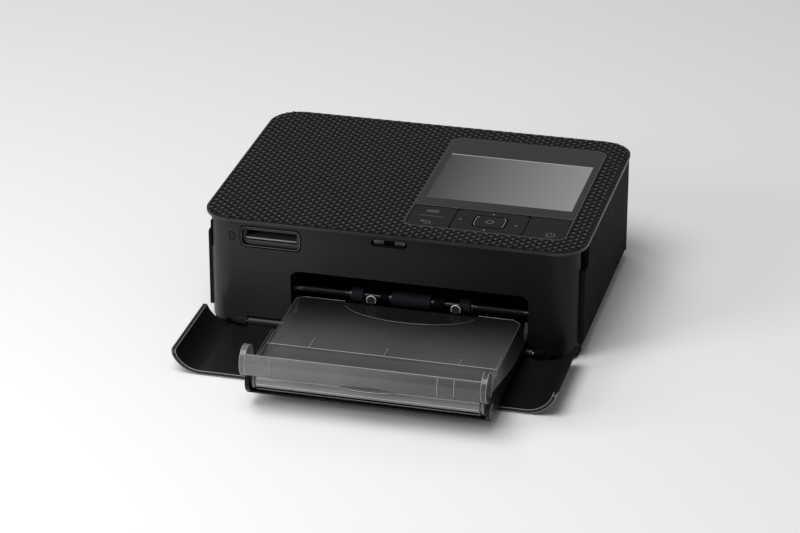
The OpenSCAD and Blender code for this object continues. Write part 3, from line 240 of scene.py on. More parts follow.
def makeMaterial(name, colour, second, rough, patch, extras):
    look = {**surface, **extras}
    material = bpy.data.materials.new(name)
    material.use_nodes = True
    tree = material.node_tree
    shader = tree.nodes["Principled BSDF"]
    setInputs(shader, {
        "Metallic": look["metal"],
        "IOR": look["ior"],
        "Specular IOR Level": look["specular"],
        "Coat Weight": look["coat"],
        "Coat Roughness": look["coatRough"],
    })
    coords = addNode(tree, "ShaderNodeTexCoord")
    mapping = addNode(tree, "ShaderNodeMapping", {"Scale": (1 / look["stretch"], 1, 1)})
    scale = {"Scale": 1 / (patch * mm), "Detail": look["patchDetail"]}
    patches = addNode(tree, "ShaderNodeTexNoise", scale)
    scale = {"Scale": 1 / (look["grain"] * mm), "Detail": look["grainDetail"]}
    grain = addNode(tree, "ShaderNodeTexNoise", scale)
    mix = addNode(tree, "ShaderNodeMix", {"A": (*colour, 1), "B": (*second, 1)}, data_type="RGBA")
    spread = addNode(tree, "ShaderNodeMapRange", {
        "From Min": look["noiseLow"], "From Max": look["noiseHigh"], "To Min": rough[0], "To Max": rough[1],
    })
    bump = addNode(tree, "ShaderNodeBump", {"Strength": look["bump"], "Distance": look["grain"] * mm})
    connect(tree, [
        (coords, "Object", mapping, "Vector"), (mapping, "Vector", patches, "Vector"),
        (mapping, "Vector", grain, "Vector"), (patches, "Fac", mix, "Factor"),
        (mix, "Result", shader, "Base Color"), (patches, "Fac", spread, "Value"),
        (spread, "Result", shader, "Roughness"), (grain, "Fac", bump, "Height"),
        (bump, "Normal", shader, "Normal"),
    ])
    return material


def smokeMaterial(name, alpha, brightness):
    colours = [tuple(brightness * v for v in smoke[key]) for key in ("colour", "second")]
    material = makeMaterial(name, *colours, smoke["rough"], smoke["patch"], smoke["extras"])
    setInputs(material.node_tree.nodes["Principled BSDF"], {"Alpha": alpha})
    return material


def splitCoords(tree):
    coords = next(n for n in tree.nodes if n.bl_idname == "ShaderNodeTexCoord")
    split = addNode(tree, "ShaderNodeSeparateXYZ")
    connect(tree, [(coords, "Object", split, "Vector")])
    return split


def mathNode(tree, operation, first, second):
    node = addNode(tree, "ShaderNodeMath", operation=operation)
    for socket, value in zip(node.inputs, (first, second)):
        if isinstance(value, (int, float)):
            socket.default_value = value
        else:
            tree.links.new(value, socket)
    return node.outputs[0]


def axisMask(tree, source, low, high):
    above = mathNode(tree, "GREATER_THAN", source, low)
    below = mathNode(tree, "LESS_THAN", source, high)
    return mathNode(tree, "MULTIPLY", above, below)


def makeWindow():
    material = makeMaterial("smokedWindow", *looks["glossBlack"])
    tree = material.node_tree
    split = splitCoords(tree)
    low = at(screen["left"], screen["front"], 0)
    high = at(screen["right"], screen["back"], 0)
    inX = axisMask(tree, split.outputs["X"], low.x, high.x)
    inY = axisMask(tree, split.outputs["Y"], low.y, high.y)
    inside = mathNode(tree, "MULTIPLY", inX, inY)
    fade = addNode(tree, "ShaderNodeMapRange", {"From Min": low.x, "From Max": high.x})
    # painted reflection: dim at the screen's left, lit at its right
    paintedSheen = addNode(tree, "ShaderNodeMix", {"A": screen["dim"], "B": screen["lit"]}, data_type="RGBA")
    final = addNode(tree, "ShaderNodeMix", {"A": screen["mask"]}, data_type="RGBA")
    tree.links.new(inside, final.inputs["Factor"])
    connect(tree, [
        (split, "X", fade, "Value"), (fade, "Result", paintedSheen, "Factor"), (paintedSheen, "Result", final, "B"),
        (final, "Result", tree.nodes["Principled BSDF"], "Base Color"),
    ])
    return material


# Multiplies a material's colour by a tint that changes along one axis: painted light and shade
def blendAlong(material, axis, low, high, lowTint, highTint):
    tree = material.node_tree
    shader = tree.nodes["Principled BSDF"]
    before = shader.inputs["Base Color"].links[0].from_socket
    split = splitCoords(tree)
    ends = [at(v, v, v)["XYZ".index(axis)] for v in (low, high)]
    limits = {"From Min": ends[0], "From Max": ends[1]}
    ramp = addNode(tree, "ShaderNodeMapRange", limits, interpolation_type="SMOOTHSTEP")
    tints = {"A": (lowTint, lowTint, lowTint, 1), "B": (highTint, highTint, highTint, 1)}
    tint = addNode(tree, "ShaderNodeMix", tints, data_type="RGBA")
    final = addNode(tree, "ShaderNodeMix", {"Factor": 1}, data_type="RGBA", blend_type="MULTIPLY")
    tree.links.new(before, final.inputs["A"])
    connect(tree, [
        (split, axis, ramp, "Value"), (ramp, "Result", tint, "Factor"), (tint, "Result", final, "B"),
        (final, "Result", shader, "Base Color"),
    ])


def makeMaterials():
    for name, look in looks.items():
        materials[name] = makeMaterial(name, *look)
    for name, (alpha, brightness) in smokes.items():
        materials[name] = smokeMaterial(name, alpha, brightness)
    for name, blend in blends.items():
        blendAlong(materials[name], *blend)
    materials["smokedWindow"] = makeWindow()
    print("materials ready:", len(materials))


# Mesh helpers

def newMesh(name, shape):
    mesh = bpy.data.meshes.new(name)
    shape.to_mesh(mesh)
    shape.free()
    return mesh


def solid(name, points, faces):
    mesh = bpy.data.meshes.new(name)
    mesh.from_pydata([tuple(p) for p in points], [], faces)
    shape = bmesh.new()
    shape.from_mesh(mesh)
    bmesh.ops.recalc_face_normals(shape, faces=shape.faces)
    shape.to_mesh(mesh)
    shape.free()
    return newObject(name, mesh)


def applyAll(obj):
    graph = bpy.context.evaluated_depsgraph_get()
    mesh = bpy.data.meshes.new_from_object(obj.evaluated_get(graph), depsgraph=graph)
    obj.modifiers.clear()
    obj.data = mesh


sharpAngle = 32  # degrees


def smooth(obj):
    for face in obj.data.polygons:
        face.use_smooth = True
    obj.data.set_sharp_from_angle(angle=math.radians(sharpAngle))
    return obj


def softenEdges(obj, width):
    edge = obj.modifiers.new("edge", "BEVEL")
    edge.width = width * mm
    edge.segments = 2
    edge.limit_method = "ANGLE"
    edge.angle_limit = math.radians(sharpAngle)
    applyAll(obj)


def dress(obj, material, body, replaced=()):
    obj.data.materials.clear()
    obj.data.materials.append(materials[material])
    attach(obj, body)
    if replaced:
        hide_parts(*replaced)


# Where a flat loop's two measures and its depth go, by the axis that the depth runs along
placers = {"X": lambda a, b, d: at(d, a, b), "Y": lambda a, b, d: at(a, d, b), "Z": at}


def prism(name, loop, low, high, axis="X", bevel=0):
    n = len(loop)
    points = [placers[axis](a, b, d) for d in (low, high) for a, b in loop]
    faces = [tuple(range(n)), tuple(range(2 * n - 1, n - 1, -1))]
    faces += [(i, i + n, (i + 1) % n + n, (i + 1) % n) for i in range(n)]
    obj = solid(name, points, faces)
    if bevel:
        softenEdges(obj, bevel)
    return smooth(obj)


def block(name, x0, y0, x1, y1, low, high):
    return prism(name, [(x0, y0), (x1, y0), (x1, y1), (x0, y1)], low, high, "Z")


def ring(name, outer, inner, low, high, axis="Y"):
    n = len(outer)
    points = [placers[axis](a, b, d) for d in (low, high) for loop in (outer, inner) for a, b in loop]
    faces = []
    for i in range(n):
        j = (i + 1) % n
        faces += [(i, j, j + n, i + n), (i + 2 * n, i + 3 * n, j + 3 * n, j + 2 * n)]
        faces += [(i, i + 2 * n, j + 2 * n, j), (i + n, j + n, j + 3 * n, i + 3 * n)]
    return smooth(solid(name, points, faces))


def joined(name, parts):
    shape = bmesh.new()
    for part in parts:
        shape.from_mesh(part.data)
    mesh = newMesh(name, shape)
    for part in parts:
        bpy.data.objects.remove(part)
    return smooth(newObject(name, mesh))


def combined(name, first, others, how):
    for other in others:
        step = first.modifiers.new(how, "BOOLEAN")
        step.operation = how
        step.solver = "MANIFOLD"
        step.object = other
        applyAll(first)
        bpy.data.objects.remove(other)
    first.name = name
    return smooth(first)


tubeSides = 6
leanVector = Vector((0.13, 0.21, 1))  # No tube runs along it, so it gives each one a side


def tube(name, points, radius):
    places = [at(*p) for p in points]
    rings = []
    shape = bmesh.new()
    for i, place in enumerate(places):
        before = places[max(i - 1, 0)]
        after = places[min(i + 1, len(places) - 1)]
        direction = (after - before).normalized()
        side = direction.cross(leanVector).normalized()
        up = side.cross(direction)
        ringNow = []
        for k in range(tubeSides):
            a = 2 * math.pi * k / tubeSides
            ringNow.append(shape.verts.new(place + (side * math.cos(a) + up * math.sin(a)) * radius * mm))
        rings.append(ringNow)
    for one, two in zip(rings, rings[1:]):
        for k in range(tubeSides):
            j = (k + 1) % tubeSides
            shape.faces.new((one[k], one[j], two[j], two[k]))
    shape.faces.new(rings[0][::-1])
    shape.faces.new(rings[-1])
    bmesh.ops.recalc_face_normals(shape, faces=shape.faces)
    return newObject(name, newMesh(name, shape))


def ellipseLoop(x, y, a, b, angles):
    return [(x + a * math.cos(math.radians(v)), y + b * math.sin(math.radians(v))) for v in angles]


def circleLoop(x, y, r, steps, start=0, sweep=360):
    count = steps if sweep == 360 else steps + 1
    return ellipseLoop(x, y, r, r, [start + sweep * i / steps for i in range(count)])


def roundedLoop(x0, y0, x1, y1, r, steps):
    loop = []
    centres = ((x1 - r, y1 - r, 0), (x0 + r, y1 - r, 90), (x0 + r, y0 + r, 180), (x1 - r, y0 + r, 270))
    for x, y, start in centres:
        loop += circleLoop(x, y, r, steps, start, 90)
    return loop


def roundedRing(name, outer, inner, steps, low, high, axis="Y"):
    return ring(name, roundedLoop(*outer, steps), roundedLoop(*inner, steps), low, high, axis)


def circleRing(name, x, y, radii, steps, low, high, axis="Y"):
    return ring(name, *[circleLoop(x, y, radius, steps) for radius in radii], low, high, axis)


def sheetLoop(path, thick):
    left, right = [], []
    for i, p in enumerate(path):
        before = path[max(i - 1, 0)]
        after = path[min(i + 1, len(path) - 1)]
        direction = Vector((after[0] - before[0], after[1] - before[1])).normalized()
        side = Vector((-direction.y, direction.x)) * thick / 2
        left.append((p[0] + side.x, p[1] + side.y))
        right.append((p[0] - side.x, p[1] - side.y))
    return left + right[::-1]


# Case parts that keep the solid's shape and get softened edges

softEdges = {
    # node: edge width in mm, material
    "top_cover": (0.45, "coverBlack"), "front_bezel": (0.3, "frontBlack"),
    "rear_housing": (0.25, "sideBlack"), "base_pan": (0.3, "sideBlack"), "front_door": (0.55, "doorBlack"),
    "ink_door": (0.3, "sideBlack"), "cassette_base": (0.3, "trayBlack"), "menu_back_key": (0.12, "keyBlack"),
    "navigation_pad": (0.12, "keyBlack"), "ok_button": (0.2, "keyBlack"), "power_key": (0.12, "keyBlack"),
    "card_reader": (0.2, "recessGrey"), "rubber_feet": (0.3, "rubberFoot"),
    "ink_cassette_shell": (0.2, "innerBlack"), "control_panel": (0.2, "smokedWindow"),
}
cleaning = {"weld": 0.003, "flatAngle": 0.8, "topBand": 0.05}
coverLowered = 0.4  # The embossed bumps rise from the cover's top, which is this much lower than the solid's


def softCopy(node, width, material, lowered):
    mesh = nodes[node].data.copy()
    shape = bmesh.new()
    shape.from_mesh(mesh)
    bmesh.ops.remove_doubles(shape, verts=shape.verts, dist=cleaning["weld"] * mm)
    flat = math.radians(cleaning["flatAngle"])
    bmesh.ops.dissolve_limit(shape, angle_limit=flat, verts=shape.verts, edges=shape.edges)
    if lowered:
        top = max(v.co.z for v in shape.verts)
        for vert in shape.verts:
            if vert.co.z > top - cleaning["topBand"] * mm:
                vert.co.z = top - lowered * mm
    shape.to_mesh(mesh)
    shape.free()
    obj = newObject(node + "_finished", mesh)
    softenEdges(obj, width)
    smooth(obj)
    even = obj.modifiers.new("flat", "WEIGHTED_NORMAL")
    even.keep_sharp = True
    applyAll(obj)
    dress(obj, material, bodyOf[node], (node,))


def buildCase():
    for node, (width, material) in softEdges.items():
        softCopy(node, width, material, coverLowered if node == "top_cover" else 0)
    print("case parts softened:", len(softEdges))


# Embossed top: two grids of blunt four-sided bumps, cut to the cover's outline and the panel's

texture = {
    "pitchX": 5.168, "pitchY": 4.27, "columns": 38, "rows": 34, "height": 0.45, "sink": 0.1,
    # a bump of half a pitch's radius and height 1, scaled to the pitch and the height above
    "bump": {"Vertices": 4, "Radius Top": 0.12, "Radius Bottom": 0.985, "Depth": 1}, "middleY": 66.5,
    "rim": 1.0, "rimSteps": 12, "cutZ": (56.95, 59),
    # the panel's left, front, right, back and corner radius
    "panel": (2.9, 13.6, 80.1, 119, 5), "panelRim": 0.3, "steps": 10, "panelZ": (56, 60),
    "uprightLimit": 0.15,
}


def newTree(name):
    group = bpy.data.node_groups.new(name, "GeometryNodeTree")
    group.interface.new_socket(name="Geometry", in_out="OUTPUT", socket_type="NodeSocketGeometry")
    return group


def groupInput(group, name, kind):
    return group.interface.new_socket(name=name, in_out="INPUT", socket_type=kind).identifier


def pitchVector(group, pitches, share):
    vector = addNode(group, "ShaderNodeCombineXYZ")
    for letter, pitch in pitches.items():
        group.links.new(mathNode(group, "MULTIPLY", pitch, share), vector.inputs[letter])
    return vector


def runTree(obj, group, values):
    step = obj.modifiers.new(group.name, "NODES")
    step.node_group = group
    for identifier, value in values.items():
        step[identifier] = value
    applyAll(obj)


def finishPoints(group, source, points, shape):
    place = addNode(group, "GeometryNodeInstanceOnPoints")
    real = addNode(group, "GeometryNodeRealizeInstances")
    finish = addNode(group, "GeometryNodeSetMaterial")
    target = addNode(group, "NodeGroupOutput")
    group.links.new(points, place.inputs["Points"])
    group.links.new(shape, place.inputs["Instance"])
    connect(group, [
        (place, "Instances", real, "Geometry"), (real, "Geometry", finish, "Geometry"),
        (source, "Finish", finish, "Material"), (finish, "Geometry", target, "Geometry"),
    ])
    return place


def buildTexture():
    group = newTree("embossedRows")
    values = {
        groupInput(group, "Pitch across", "NodeSocketFloat"): texture["pitchX"] * mm,
        groupInput(group, "Pitch along", "NodeSocketFloat"): texture["pitchY"] * mm,
        groupInput(group, "Bump height", "NodeSocketFloat"): (texture["height"] + texture["sink"]) * mm,
        groupInput(group, "Columns", "NodeSocketInt"): texture["columns"],
        groupInput(group, "Rows", "NodeSocketInt"): texture["rows"],
        groupInput(group, "Finish", "NodeSocketMaterial"): materials["textureBlack"],
    }
    source = addNode(group, "NodeGroupInput")
    pitches = {"X": source.outputs["Pitch across"], "Y": source.outputs["Pitch along"]}
    cone = addNode(group, "GeometryNodeMeshCone", texture["bump"], fill_type="NGON")
    join = addNode(group, "GeometryNodeJoinGeometry")
    for shift in (0, 0.5):
        grid = addNode(group, "GeometryNodeMeshGrid")
        for letter, count in (("X", "Columns"), ("Y", "Rows")):
            steps = mathNode(group, "SUBTRACT", source.outputs[count], 1)
            reach = mathNode(group, "MULTIPLY", pitches[letter], steps)
            group.links.new(reach, grid.inputs["Size " + letter])
            connect(group, [(source, count, grid, "Vertices " + letter)])
        offset = pitchVector(group, pitches, shift)
        move = addNode(group, "GeometryNodeTransform")
        connect(group, [(grid, "Mesh", move, "Geometry"), (offset, "Vector", move, "Translation"),
                        (move, "Geometry", join, "Geometry")])
    size = pitchVector(group, pitches, 0.5)
    connect(group, [(source, "Bump height", size, "Z")])
    place = finishPoints(group, source, join.outputs["Geometry"], cone.outputs["Mesh"])
    connect(group, [(size, "Vector", place, "Scale")])

    obj = newObject("topTexture", bpy.data.meshes.new("topTexture"))
    runTree(obj, group, values)
    middleZ = case["top"] - coverLowered + (texture["height"] - texture["sink"]) / 2
    obj.data.transform(Matrix.Translation(at(0, texture["middleY"], middleZ)))
    rim = texture["rim"]
    half = case["half"] - rim
    outline = roundedLoop(-half, rim, half, case["depth"] - rim, case["corner"] - rim, texture["rimSteps"])
    keep = prism("textureArea", outline, *texture["cutZ"], "Z")
    gap = texture["panelRim"]
    left, front, right, back, corner = texture["panel"]
    outline = roundedLoop(left - gap, front - gap, right + gap, back + gap, corner + gap, texture["steps"])
    away = prism("panelArea", outline, *texture["panelZ"], "Z")
    combined("topArea", keep, [away], "DIFFERENCE")
    combined("topTexture", obj, [keep], "INTERSECT")
    shape = bmesh.new()
    shape.from_mesh(obj.data)
    shape.normal_update()
    for face in shape.faces:
        face.smooth = True
    # Only the edges between a cut side and a bump stay sharp
    for edge in shape.edges:
        upright = {abs(face.normal.z) < texture["uprightLimit"] for face in edge.link_faces}
        edge.smooth = len(upright) == 1
    shape.to_mesh(obj.data)
    shape.free()
    dress(obj, "textureBlack", "printer")
    print("top texture:", len(obj.data.polygons), "faces")


# Generic signs on the keys and beside the card slot

signs = {"lift": 0.06, "sink": 0.1, "width": 0.35, "menuX": 14.6, "padX": 42.25, "powerX": 68.7, "midY": 25.9}
menuSign = {
    "bars": 3, "barFrom": -3.6, "barTo": 2.2, "barY": 6.4, "barStep": 1.1, "divider": 6, "dividerWidth": 0.2,
    "arrowX": -1.4, "arrowY": -6, "arrowFrom": -1.6, "turn": 1.2, "tail": 0.8,
    "tip": [(-2.8, 0), (-1.4, 0.9), (-1.4, -0.9)],
}
padSign = {"arrows": [(0, 8.6), (-0.7, -9.7), (13, -1.2), (-14.2, 0)], "arrowHalf": 0.75}
okSign = {
    "outer": (7.55, 6.25, 3), "inner": (7.2, 5.9, 2.7), "steps": 8, "lift": 0.03,
    "endX": 4.1, "endY": 2.9, "endSteps": 4, "endRadius": 0.14, "circle": (1.9, 1.5), "circleSteps": 32,
}
powerSign = {"x": 3.7, "y": -7.3, "radius": 2.05, "start": 115, "sweep": 310, "pole": (0.3, 2.6)}
cardSign = {
    "outer": [(-76.9, 45.9), (-74.3, 45.9), (-74.3, 48.9), (-75.3, 49.9), (-76.9, 49.9)],
    "inner": [(-76.55, 46.25), (-74.65, 46.25), (-74.65, 48.75), (-75.45, 49.55), (-76.55, 49.55)],
    "depth": (2.12, 2.3),
}


def sign(name, loop, top=case["keyTop"]):
    return prism(name, loop, top - signs["sink"], top + signs["lift"], "Z")


def stripe(name, x0, y0, x1, y1, top=case["keyTop"], width=signs["width"]):
    along = Vector((x1 - x0, y1 - y0)).normalized() * width / 2
    side = Vector((-along.y, along.x))
    starts = [(x0 - side.x, y0 - side.y), (x1 - side.x, y1 - side.y)]
    return sign(name, starts + [(x1 + side.x, y1 + side.y), (x0 + side.x, y0 + side.y)], top)


def arcStripe(name, x, y, r, start, sweep):
    return sign(name, sheetLoop(circleLoop(x, y, r, 16, start, sweep), signs["width"]))


def buildMenuSigns():
    x, y, m = signs["menuX"], signs["midY"], menuSign
    parts = []
    for i in range(m["bars"]):
        barY = y + m["barY"] - i * m["barStep"]
        parts.append(stripe("bar", x + m["barFrom"], barY, x + m["barTo"], barY))
    parts.append(stripe("line", x - m["divider"], y, x + m["divider"], y, width=m["dividerWidth"]))
    x += m["arrowX"]
    y += m["arrowY"]
    turn = m["turn"]
    parts.append(stripe("back", x + m["arrowFrom"], y, x + turn, y))
    parts.append(arcStripe("turn", x + turn, y - turn, turn, 90, -180))
    parts.append(stripe("tail", x + turn, y - 2 * turn, x - m["tail"], y - 2 * turn))
    parts.append(sign("tip", [(x + a, y + b) for a, b in m["tip"]]))
    dress(joined("menuSigns", parts), "printGrey", "menu_key")


def buildPadSigns():
    padX, midY, top = signs["padX"], signs["midY"], case["keyTop"]
    parts = []
    for dx, dy in padSign["arrows"]:
        ahead = Vector((dx, dy)).normalized() * padSign["arrowHalf"]
        side = Vector((-ahead.y, ahead.x))
        x, y = padX + dx, midY + dy
        loop = [(x + ahead.x, y + ahead.y), (x - ahead.x + side.x, y - ahead.y + side.y),
                (x - ahead.x - side.x, y - ahead.y - side.y)]
        parts.append(sign("arrow", loop))
    dress(joined("padSigns", parts), "printGrey", "pad")
    low = top - signs["sink"]
    loops = [(padX - halfX, midY - halfY, padX + halfX, midY + halfY, corner)
             for halfX, halfY, corner in (okSign["outer"], okSign["inner"])]
    outline = roundedRing("okOutline", *loops, okSign["steps"], low, top + okSign["lift"], "Z")
    dress(outline, "slotBlack", "ok_key")
    # painted highlights: short bright arcs in the middle of the OK key's left and right sides
    parts = []
    r, steps = okSign["endY"], okSign["endSteps"]
    for side in (-1, 1):
        x = padX + side * okSign["endX"]
        path = circleLoop(x, midY + r, r, steps, 90 - side * 40, -side * 50)
        path += circleLoop(x, midY - r, r, steps, 0 if side > 0 else 180, -side * 40)
        parts.append(tube("okEnd", [(x, y, top) for x, y in path], okSign["endRadius"]))
    dress(joined("okEnds", parts), "highlightLine", "ok_key")
    high = top + signs["lift"]
    circle = circleRing("okSign", padX, midY, okSign["circle"], okSign["circleSteps"], low, high, "Z")
    dress(circle, "printGrey", "ok_key")


def buildOtherSigns():
    x = signs["powerX"] + powerSign["x"]
    y = signs["midY"] + powerSign["y"]
    low, high = powerSign["pole"]
    parts = [arcStripe("arc", x, y, powerSign["radius"], powerSign["start"], powerSign["sweep"]),
             stripe("pole", x, y + low, x, y + high)]
    dress(joined("powerSign", parts), "printGrey", "power")
    outline = ring("cardSign", cardSign["outer"], cardSign["inner"], *cardSign["depth"])
    dress(outline, "slotBlack", "printer")


# Fine lines of the panel: painted highlights along its rim and the edges of the screen, the frame of the keys
# and dark gaps between the keys

panelLines = {
    "rimOuter": (2.95, 13.65, 80.05, 118.95, 5), "rimInner": (3.3, 14.0, 79.7, 118.6, 4.65),
    "rimZ": (57.5, 57.66), "steps": 10, "frame": (3.3, 14.0, 79.7, 42.4, 4.65), "frameZ": (57.5, 57.63),
    # left, right and corner radius of each key's hole
    "keys": [(4.45, 24.75, 3), (25.1, 59.4, 0.6), (59.75, 78.55, 3)], "keyY": (15.05, 36.75), "keyGap": 0.1,
    "keySteps": 8, "holeZ": (57, 58), "window": (0, 37.3, 90, 50),
    "gapX": (24.92, 59.57), "gapY": (14.4, 37.2), "gapWidth": 0.3,
    "rearWidth": 0.7, "sideWidth": 0.25, "frontWidth": 0.2, "row": (3.6, 37.45, 79.4, 37.45), "rowWidth": 0.3,
}


def buildPanelLines():
    lines = panelLines
    top = case["top"]
    rim = roundedRing("panelRim", lines["rimOuter"], lines["rimInner"], lines["steps"], *lines["rimZ"], "Z")
    # painted highlight along the panel's rim
    dress(rim, "edgeHighlightGrey", "printer")
    surround = prism("keySurround", roundedLoop(*lines["frame"], lines["steps"]), *lines["frameZ"], "Z")
    holes = []
    gap = lines["keyGap"]
    front, back = lines["keyY"]
    for x0, x1, corner in lines["keys"]:
        loop = roundedLoop(x0 - gap, front, x1 + gap, back, corner, lines["keySteps"])
        holes.append(prism("hole", loop, *lines["holeZ"], "Z"))
    holes.append(block("hole", *lines["window"], *lines["holeZ"]))
    surround = combined("keySurround", surround, holes, "DIFFERENCE")
    dress(surround, "keyBlack", "printer")
    front, back = lines["gapY"]
    gaps = [stripe("gap", x, front, x, back, top, lines["gapWidth"]) for x in lines["gapX"]]
    dress(joined("keyGaps", gaps), "slotBlack", "printer")
    left, right, front, back = (screen[key] for key in ("left", "right", "front", "back"))
    # painted highlight along the screen's rear edge
    rear = stripe("rear", left, back, right, back, top, lines["rearWidth"])
    dress(joined("screenRearLine", [rear]), "highlightLine", "printer")
    # painted highlights along edges of the screen window
    parts = [stripe("side", right, front, right, back, top, lines["sideWidth"]),
             stripe("front", left, front, right, front, top, lines["frontWidth"]),
             stripe("row", *lines["row"], top, lines["rowWidth"])]
    dress(joined("windowLines", parts), "edgeHighlightGrey", "printer")
    print("signs and panel lines done")


# Card slot and latch

frontRings = [
    # name, outer and inner loop (left, bottom, right, top, corner radius), depth from and to, material
    ("cardRecessRim", (-71.38, 43.22, -42.62, 53.18, 0.05), (-70.9, 43.7, -43.1, 52.7, 2.2), (2.25, 4.15),
     "caseBlack"),
    ("cardRecessGroove", (-71.95, 42.65, -42.05, 53.75, 3.05), (-71.3, 43.3, -42.7, 53.1, 2.5), (2.13, 2.3),
     "slotBlack"),
    # painted highlight round the card recess's edge
    ("cardRecessEdge", (-71.3, 43.3, -42.7, 53.1, 2.5), (-71.08, 43.52, -42.92, 52.88, 2.3), (2.12, 2.3),
     "edgeHighlightGrey"),
]
frontBlocks = [
    # name, loops, corner steps, depth from and to, softened edge, material, slot
    # painted shade: a black plate standing for the dark opening of the card slot
    ("cardMouth", [(-69.2, 45.9, -44.5, 47.45, 0.3)], 3, (3.95, 4.3), 0, "slotBlack", "inner_black"),
    ("cardContact", [(-69.1, 46.6, -44.6, 47.4, 0.2)], 3, (3.75, 4.1), 0.05, "contactGrey", "bright_steel"),
    # painted shade: the blackest plate deepens the dark at the latch slot's bottom
    ("latchDepth", [(-8.4, 50.15, 8.4, 53.45, 1.6)], 6, (3.9, 4.15), 0, "slotBlack", "inner_black"),
    ("latchTabs", [(x - 2.3, 51.0, x + 2.3, 53.3, 0.5) for x in (-4.9, 4.9)], 4, (3.05, 3.88), 0.25,
     "tabGrey", "inner_black"),
    ("latchEnds", [(x - 0.4, 51.9, x + 0.4, 52.7, 0.3) for x in (-7.0, 7.0)], 4, (2.95, 3.88), 0.12,
     "contactGrey", "inner_black"),
]
ringSteps = 6

# Painted shade: dark fillings behind the corners' feet, beside the hinge ears and behind the left finger
# notch, where the gaps under and into the body are in shade

fillings = {
    "shadeOuter": (-88.3, 2.8, 88.3, 130, 12.2), "shadeInner": (-87.6, 3.5, 87.6, 129.3, 11.5),
    "shadeSteps": 10, "shadeBandZ": (0.6, 6.9), "shadeCuts": [(-75.4, 0, 75.4, 30), (-95, 19, 95, 135)],
    "cutZ": (0, 8), "earX": (-74.4, 68.8), "earWidth": 5.6, "earY": (0.9, 5.2), "earZ": (0.6, 2.4),
    "notch": (-87.9, 8, -87.4, 25, 38.6, 51.6),
}

# Painted highlights: bright lines round the open door's rim, which lies on the table with its wings up

doorRim = {
    "wingTop": 11.0, "tip": 3.0, "front": -48.8, "rear": 1.2, "radius": 0.2, "corner": 15,
    "cornerX": -76.1, "cornerZ": 15.4, "insets": (0.1, 1.75), "tipSteps": 8, "cornerSteps": 12,
}


def doorLine(inset):
    rim = doorRim
    radius = rim["corner"] - inset
    front, tip, middleZ = rim["front"], rim["tip"], rim["cornerZ"]
    low = rim["wingTop"] - tip
    turned = [math.radians(90 * i / rim["tipSteps"]) for i in range(rim["tipSteps"])]
    wing = [(front + tip * (1 - math.sin(t)), low + tip * math.cos(t)) for t in turned]
    left = [(rim["cornerX"] - math.sqrt(radius ** 2 - (middleZ - z) ** 2), y, z) for y, z in wing]
    start = math.asin((middleZ - low) / radius)
    steps = rim["cornerSteps"]
    for i in range(steps + 1):
        a = start + (math.pi / 2 - start) * i / steps
        left.append((rim["cornerX"] - radius * math.cos(a), front, middleZ - radius * math.sin(a)))
    right = [(-x, y, z) for x, y, z in reversed(left)]
    return tube("rimLine", [(left[0][0], rim["rear"], left[0][2])] + left + right, rim["radius"])


def buildFrontDetails():
    for name, outer, inner, depth, material in frontRings:
        dress(roundedRing(name, outer, inner, ringSteps, *depth), material, "printer")
    for name, loops, steps, depth, bevel, material, slot in frontBlocks:
        parts = [prism("part", roundedLoop(*loop, steps), *depth, "Y", bevel) for loop in loops]
        dress(joined(name, parts), material, "printer")
    loops = fillings["shadeOuter"], fillings["shadeInner"]
    # painted shade: a dark band behind the front corners' feet, hiding the bright floor under the body
    shadeBand = roundedRing("cornerSkirt", *loops, fillings["shadeSteps"], *fillings["shadeBandZ"], "Z")
    away = [block("away", *cut, *fillings["cutZ"]) for cut in fillings["shadeCuts"]]
    dress(combined("cornerSkirt", shadeBand, away, "DIFFERENCE"), "slotBlack", "printer")
    front, back = fillings["earY"]
    shades = [block("shade", x, front, x + fillings["earWidth"], back, *fillings["earZ"])
              for x in fillings["earX"]]
    dress(joined("earShades", shades), "slotBlack", "printer")
    # painted highlights round the open door's rim
    lines = [doorLine(inset) for inset in doorRim["insets"]]
    dress(joined("doorRimLines", lines), "rimHighlightGrey", "door")
    # painted shade behind the left finger notch
    dress(block("notchBacking", *fillings["notch"]), "slotBlack", "printer")
    print("front details done")


# Tray lid: a bent sheet from the rear plate to the rounded lip, with side flaps and a bar between the noses

lid = {
    "left": -44.6, "right": 63.1, "sheet": 1.05, "smokeLipY": -68.6,
    "profile": [(3.35, 19.15), (-20, 18.87), (-46.9, 18.55), (-47.9, 17.25), (-60, 17.75), (-69.5, 18.5)],
    "lipY": -75.4, "lipZ": 25.3, "lipRadius": 6.5, "lipSteps": 22, "lipStart": -72, "lipSweep": -153,
    "discRadius": 7.05, "discSteps": 44, "discThick": 2.3,
    "flapLow": [(2.4, 11.05), (-24, 11.05), (-40, 13.75), (-54, 16.75), (-66, 19.35), (-69.5, 19.5)],
    "flapHigh": [(2.4, 19.3), (-33.5, 18.9), (-36, 21), (-54, 20.8), (-66, 20.6), (-69.5, 21.5)],
    # how far the flap's four edges stand outside the lid's side: low outer, low inner, high inner, high outer
    "flapOut": (2.3, 1.4, -1.0, -0.1),
    "ridge": [(-46.3, 18.6), (-46.4, 19.55), (-47.1, 19.55), (-47.4, 18.0)],
    "web": [(-71.9, 15.4), (-70.4, 16), (-69.8, 19), (-71.2, 19.2), (-72.4, 17.5)], "webInset": 3,
    "ribs": (-33, 43.5, 51.1), "ribRadius": 6.9, "ribThick": 0.5, "ribHalf": 0.35,
    "rings": (-8.75, 31.65), "ringZ": 21.3, "ringRadii": (2.4, 1.7), "ringY": (2.5, 3.35),
    "clip": [(-4, 19.2), (-4, 19.75), (-13, 19.65), (-13, 19.0)], "clipInset": 1.2, "clipWidth": 3,
    "catch": (10.75, -77.6, 13.2, -3.4), "catchZ": (18.35, 19.15),
    "recess": (10.5, 3.6, 32.2, 15.2), "recessSteps": 32, "recessZ": (19.0, 21),
    "corners": [[(-41.2, 4.5), (-49, 4.5), (-49, -3.4)], [(59.2, 4.5), (67, -3.8), (67, 4.5)]],
    "cornerZ": (17, 26), "shadeY": 3.3, "shadeZ": (19.02, 19.06),
}
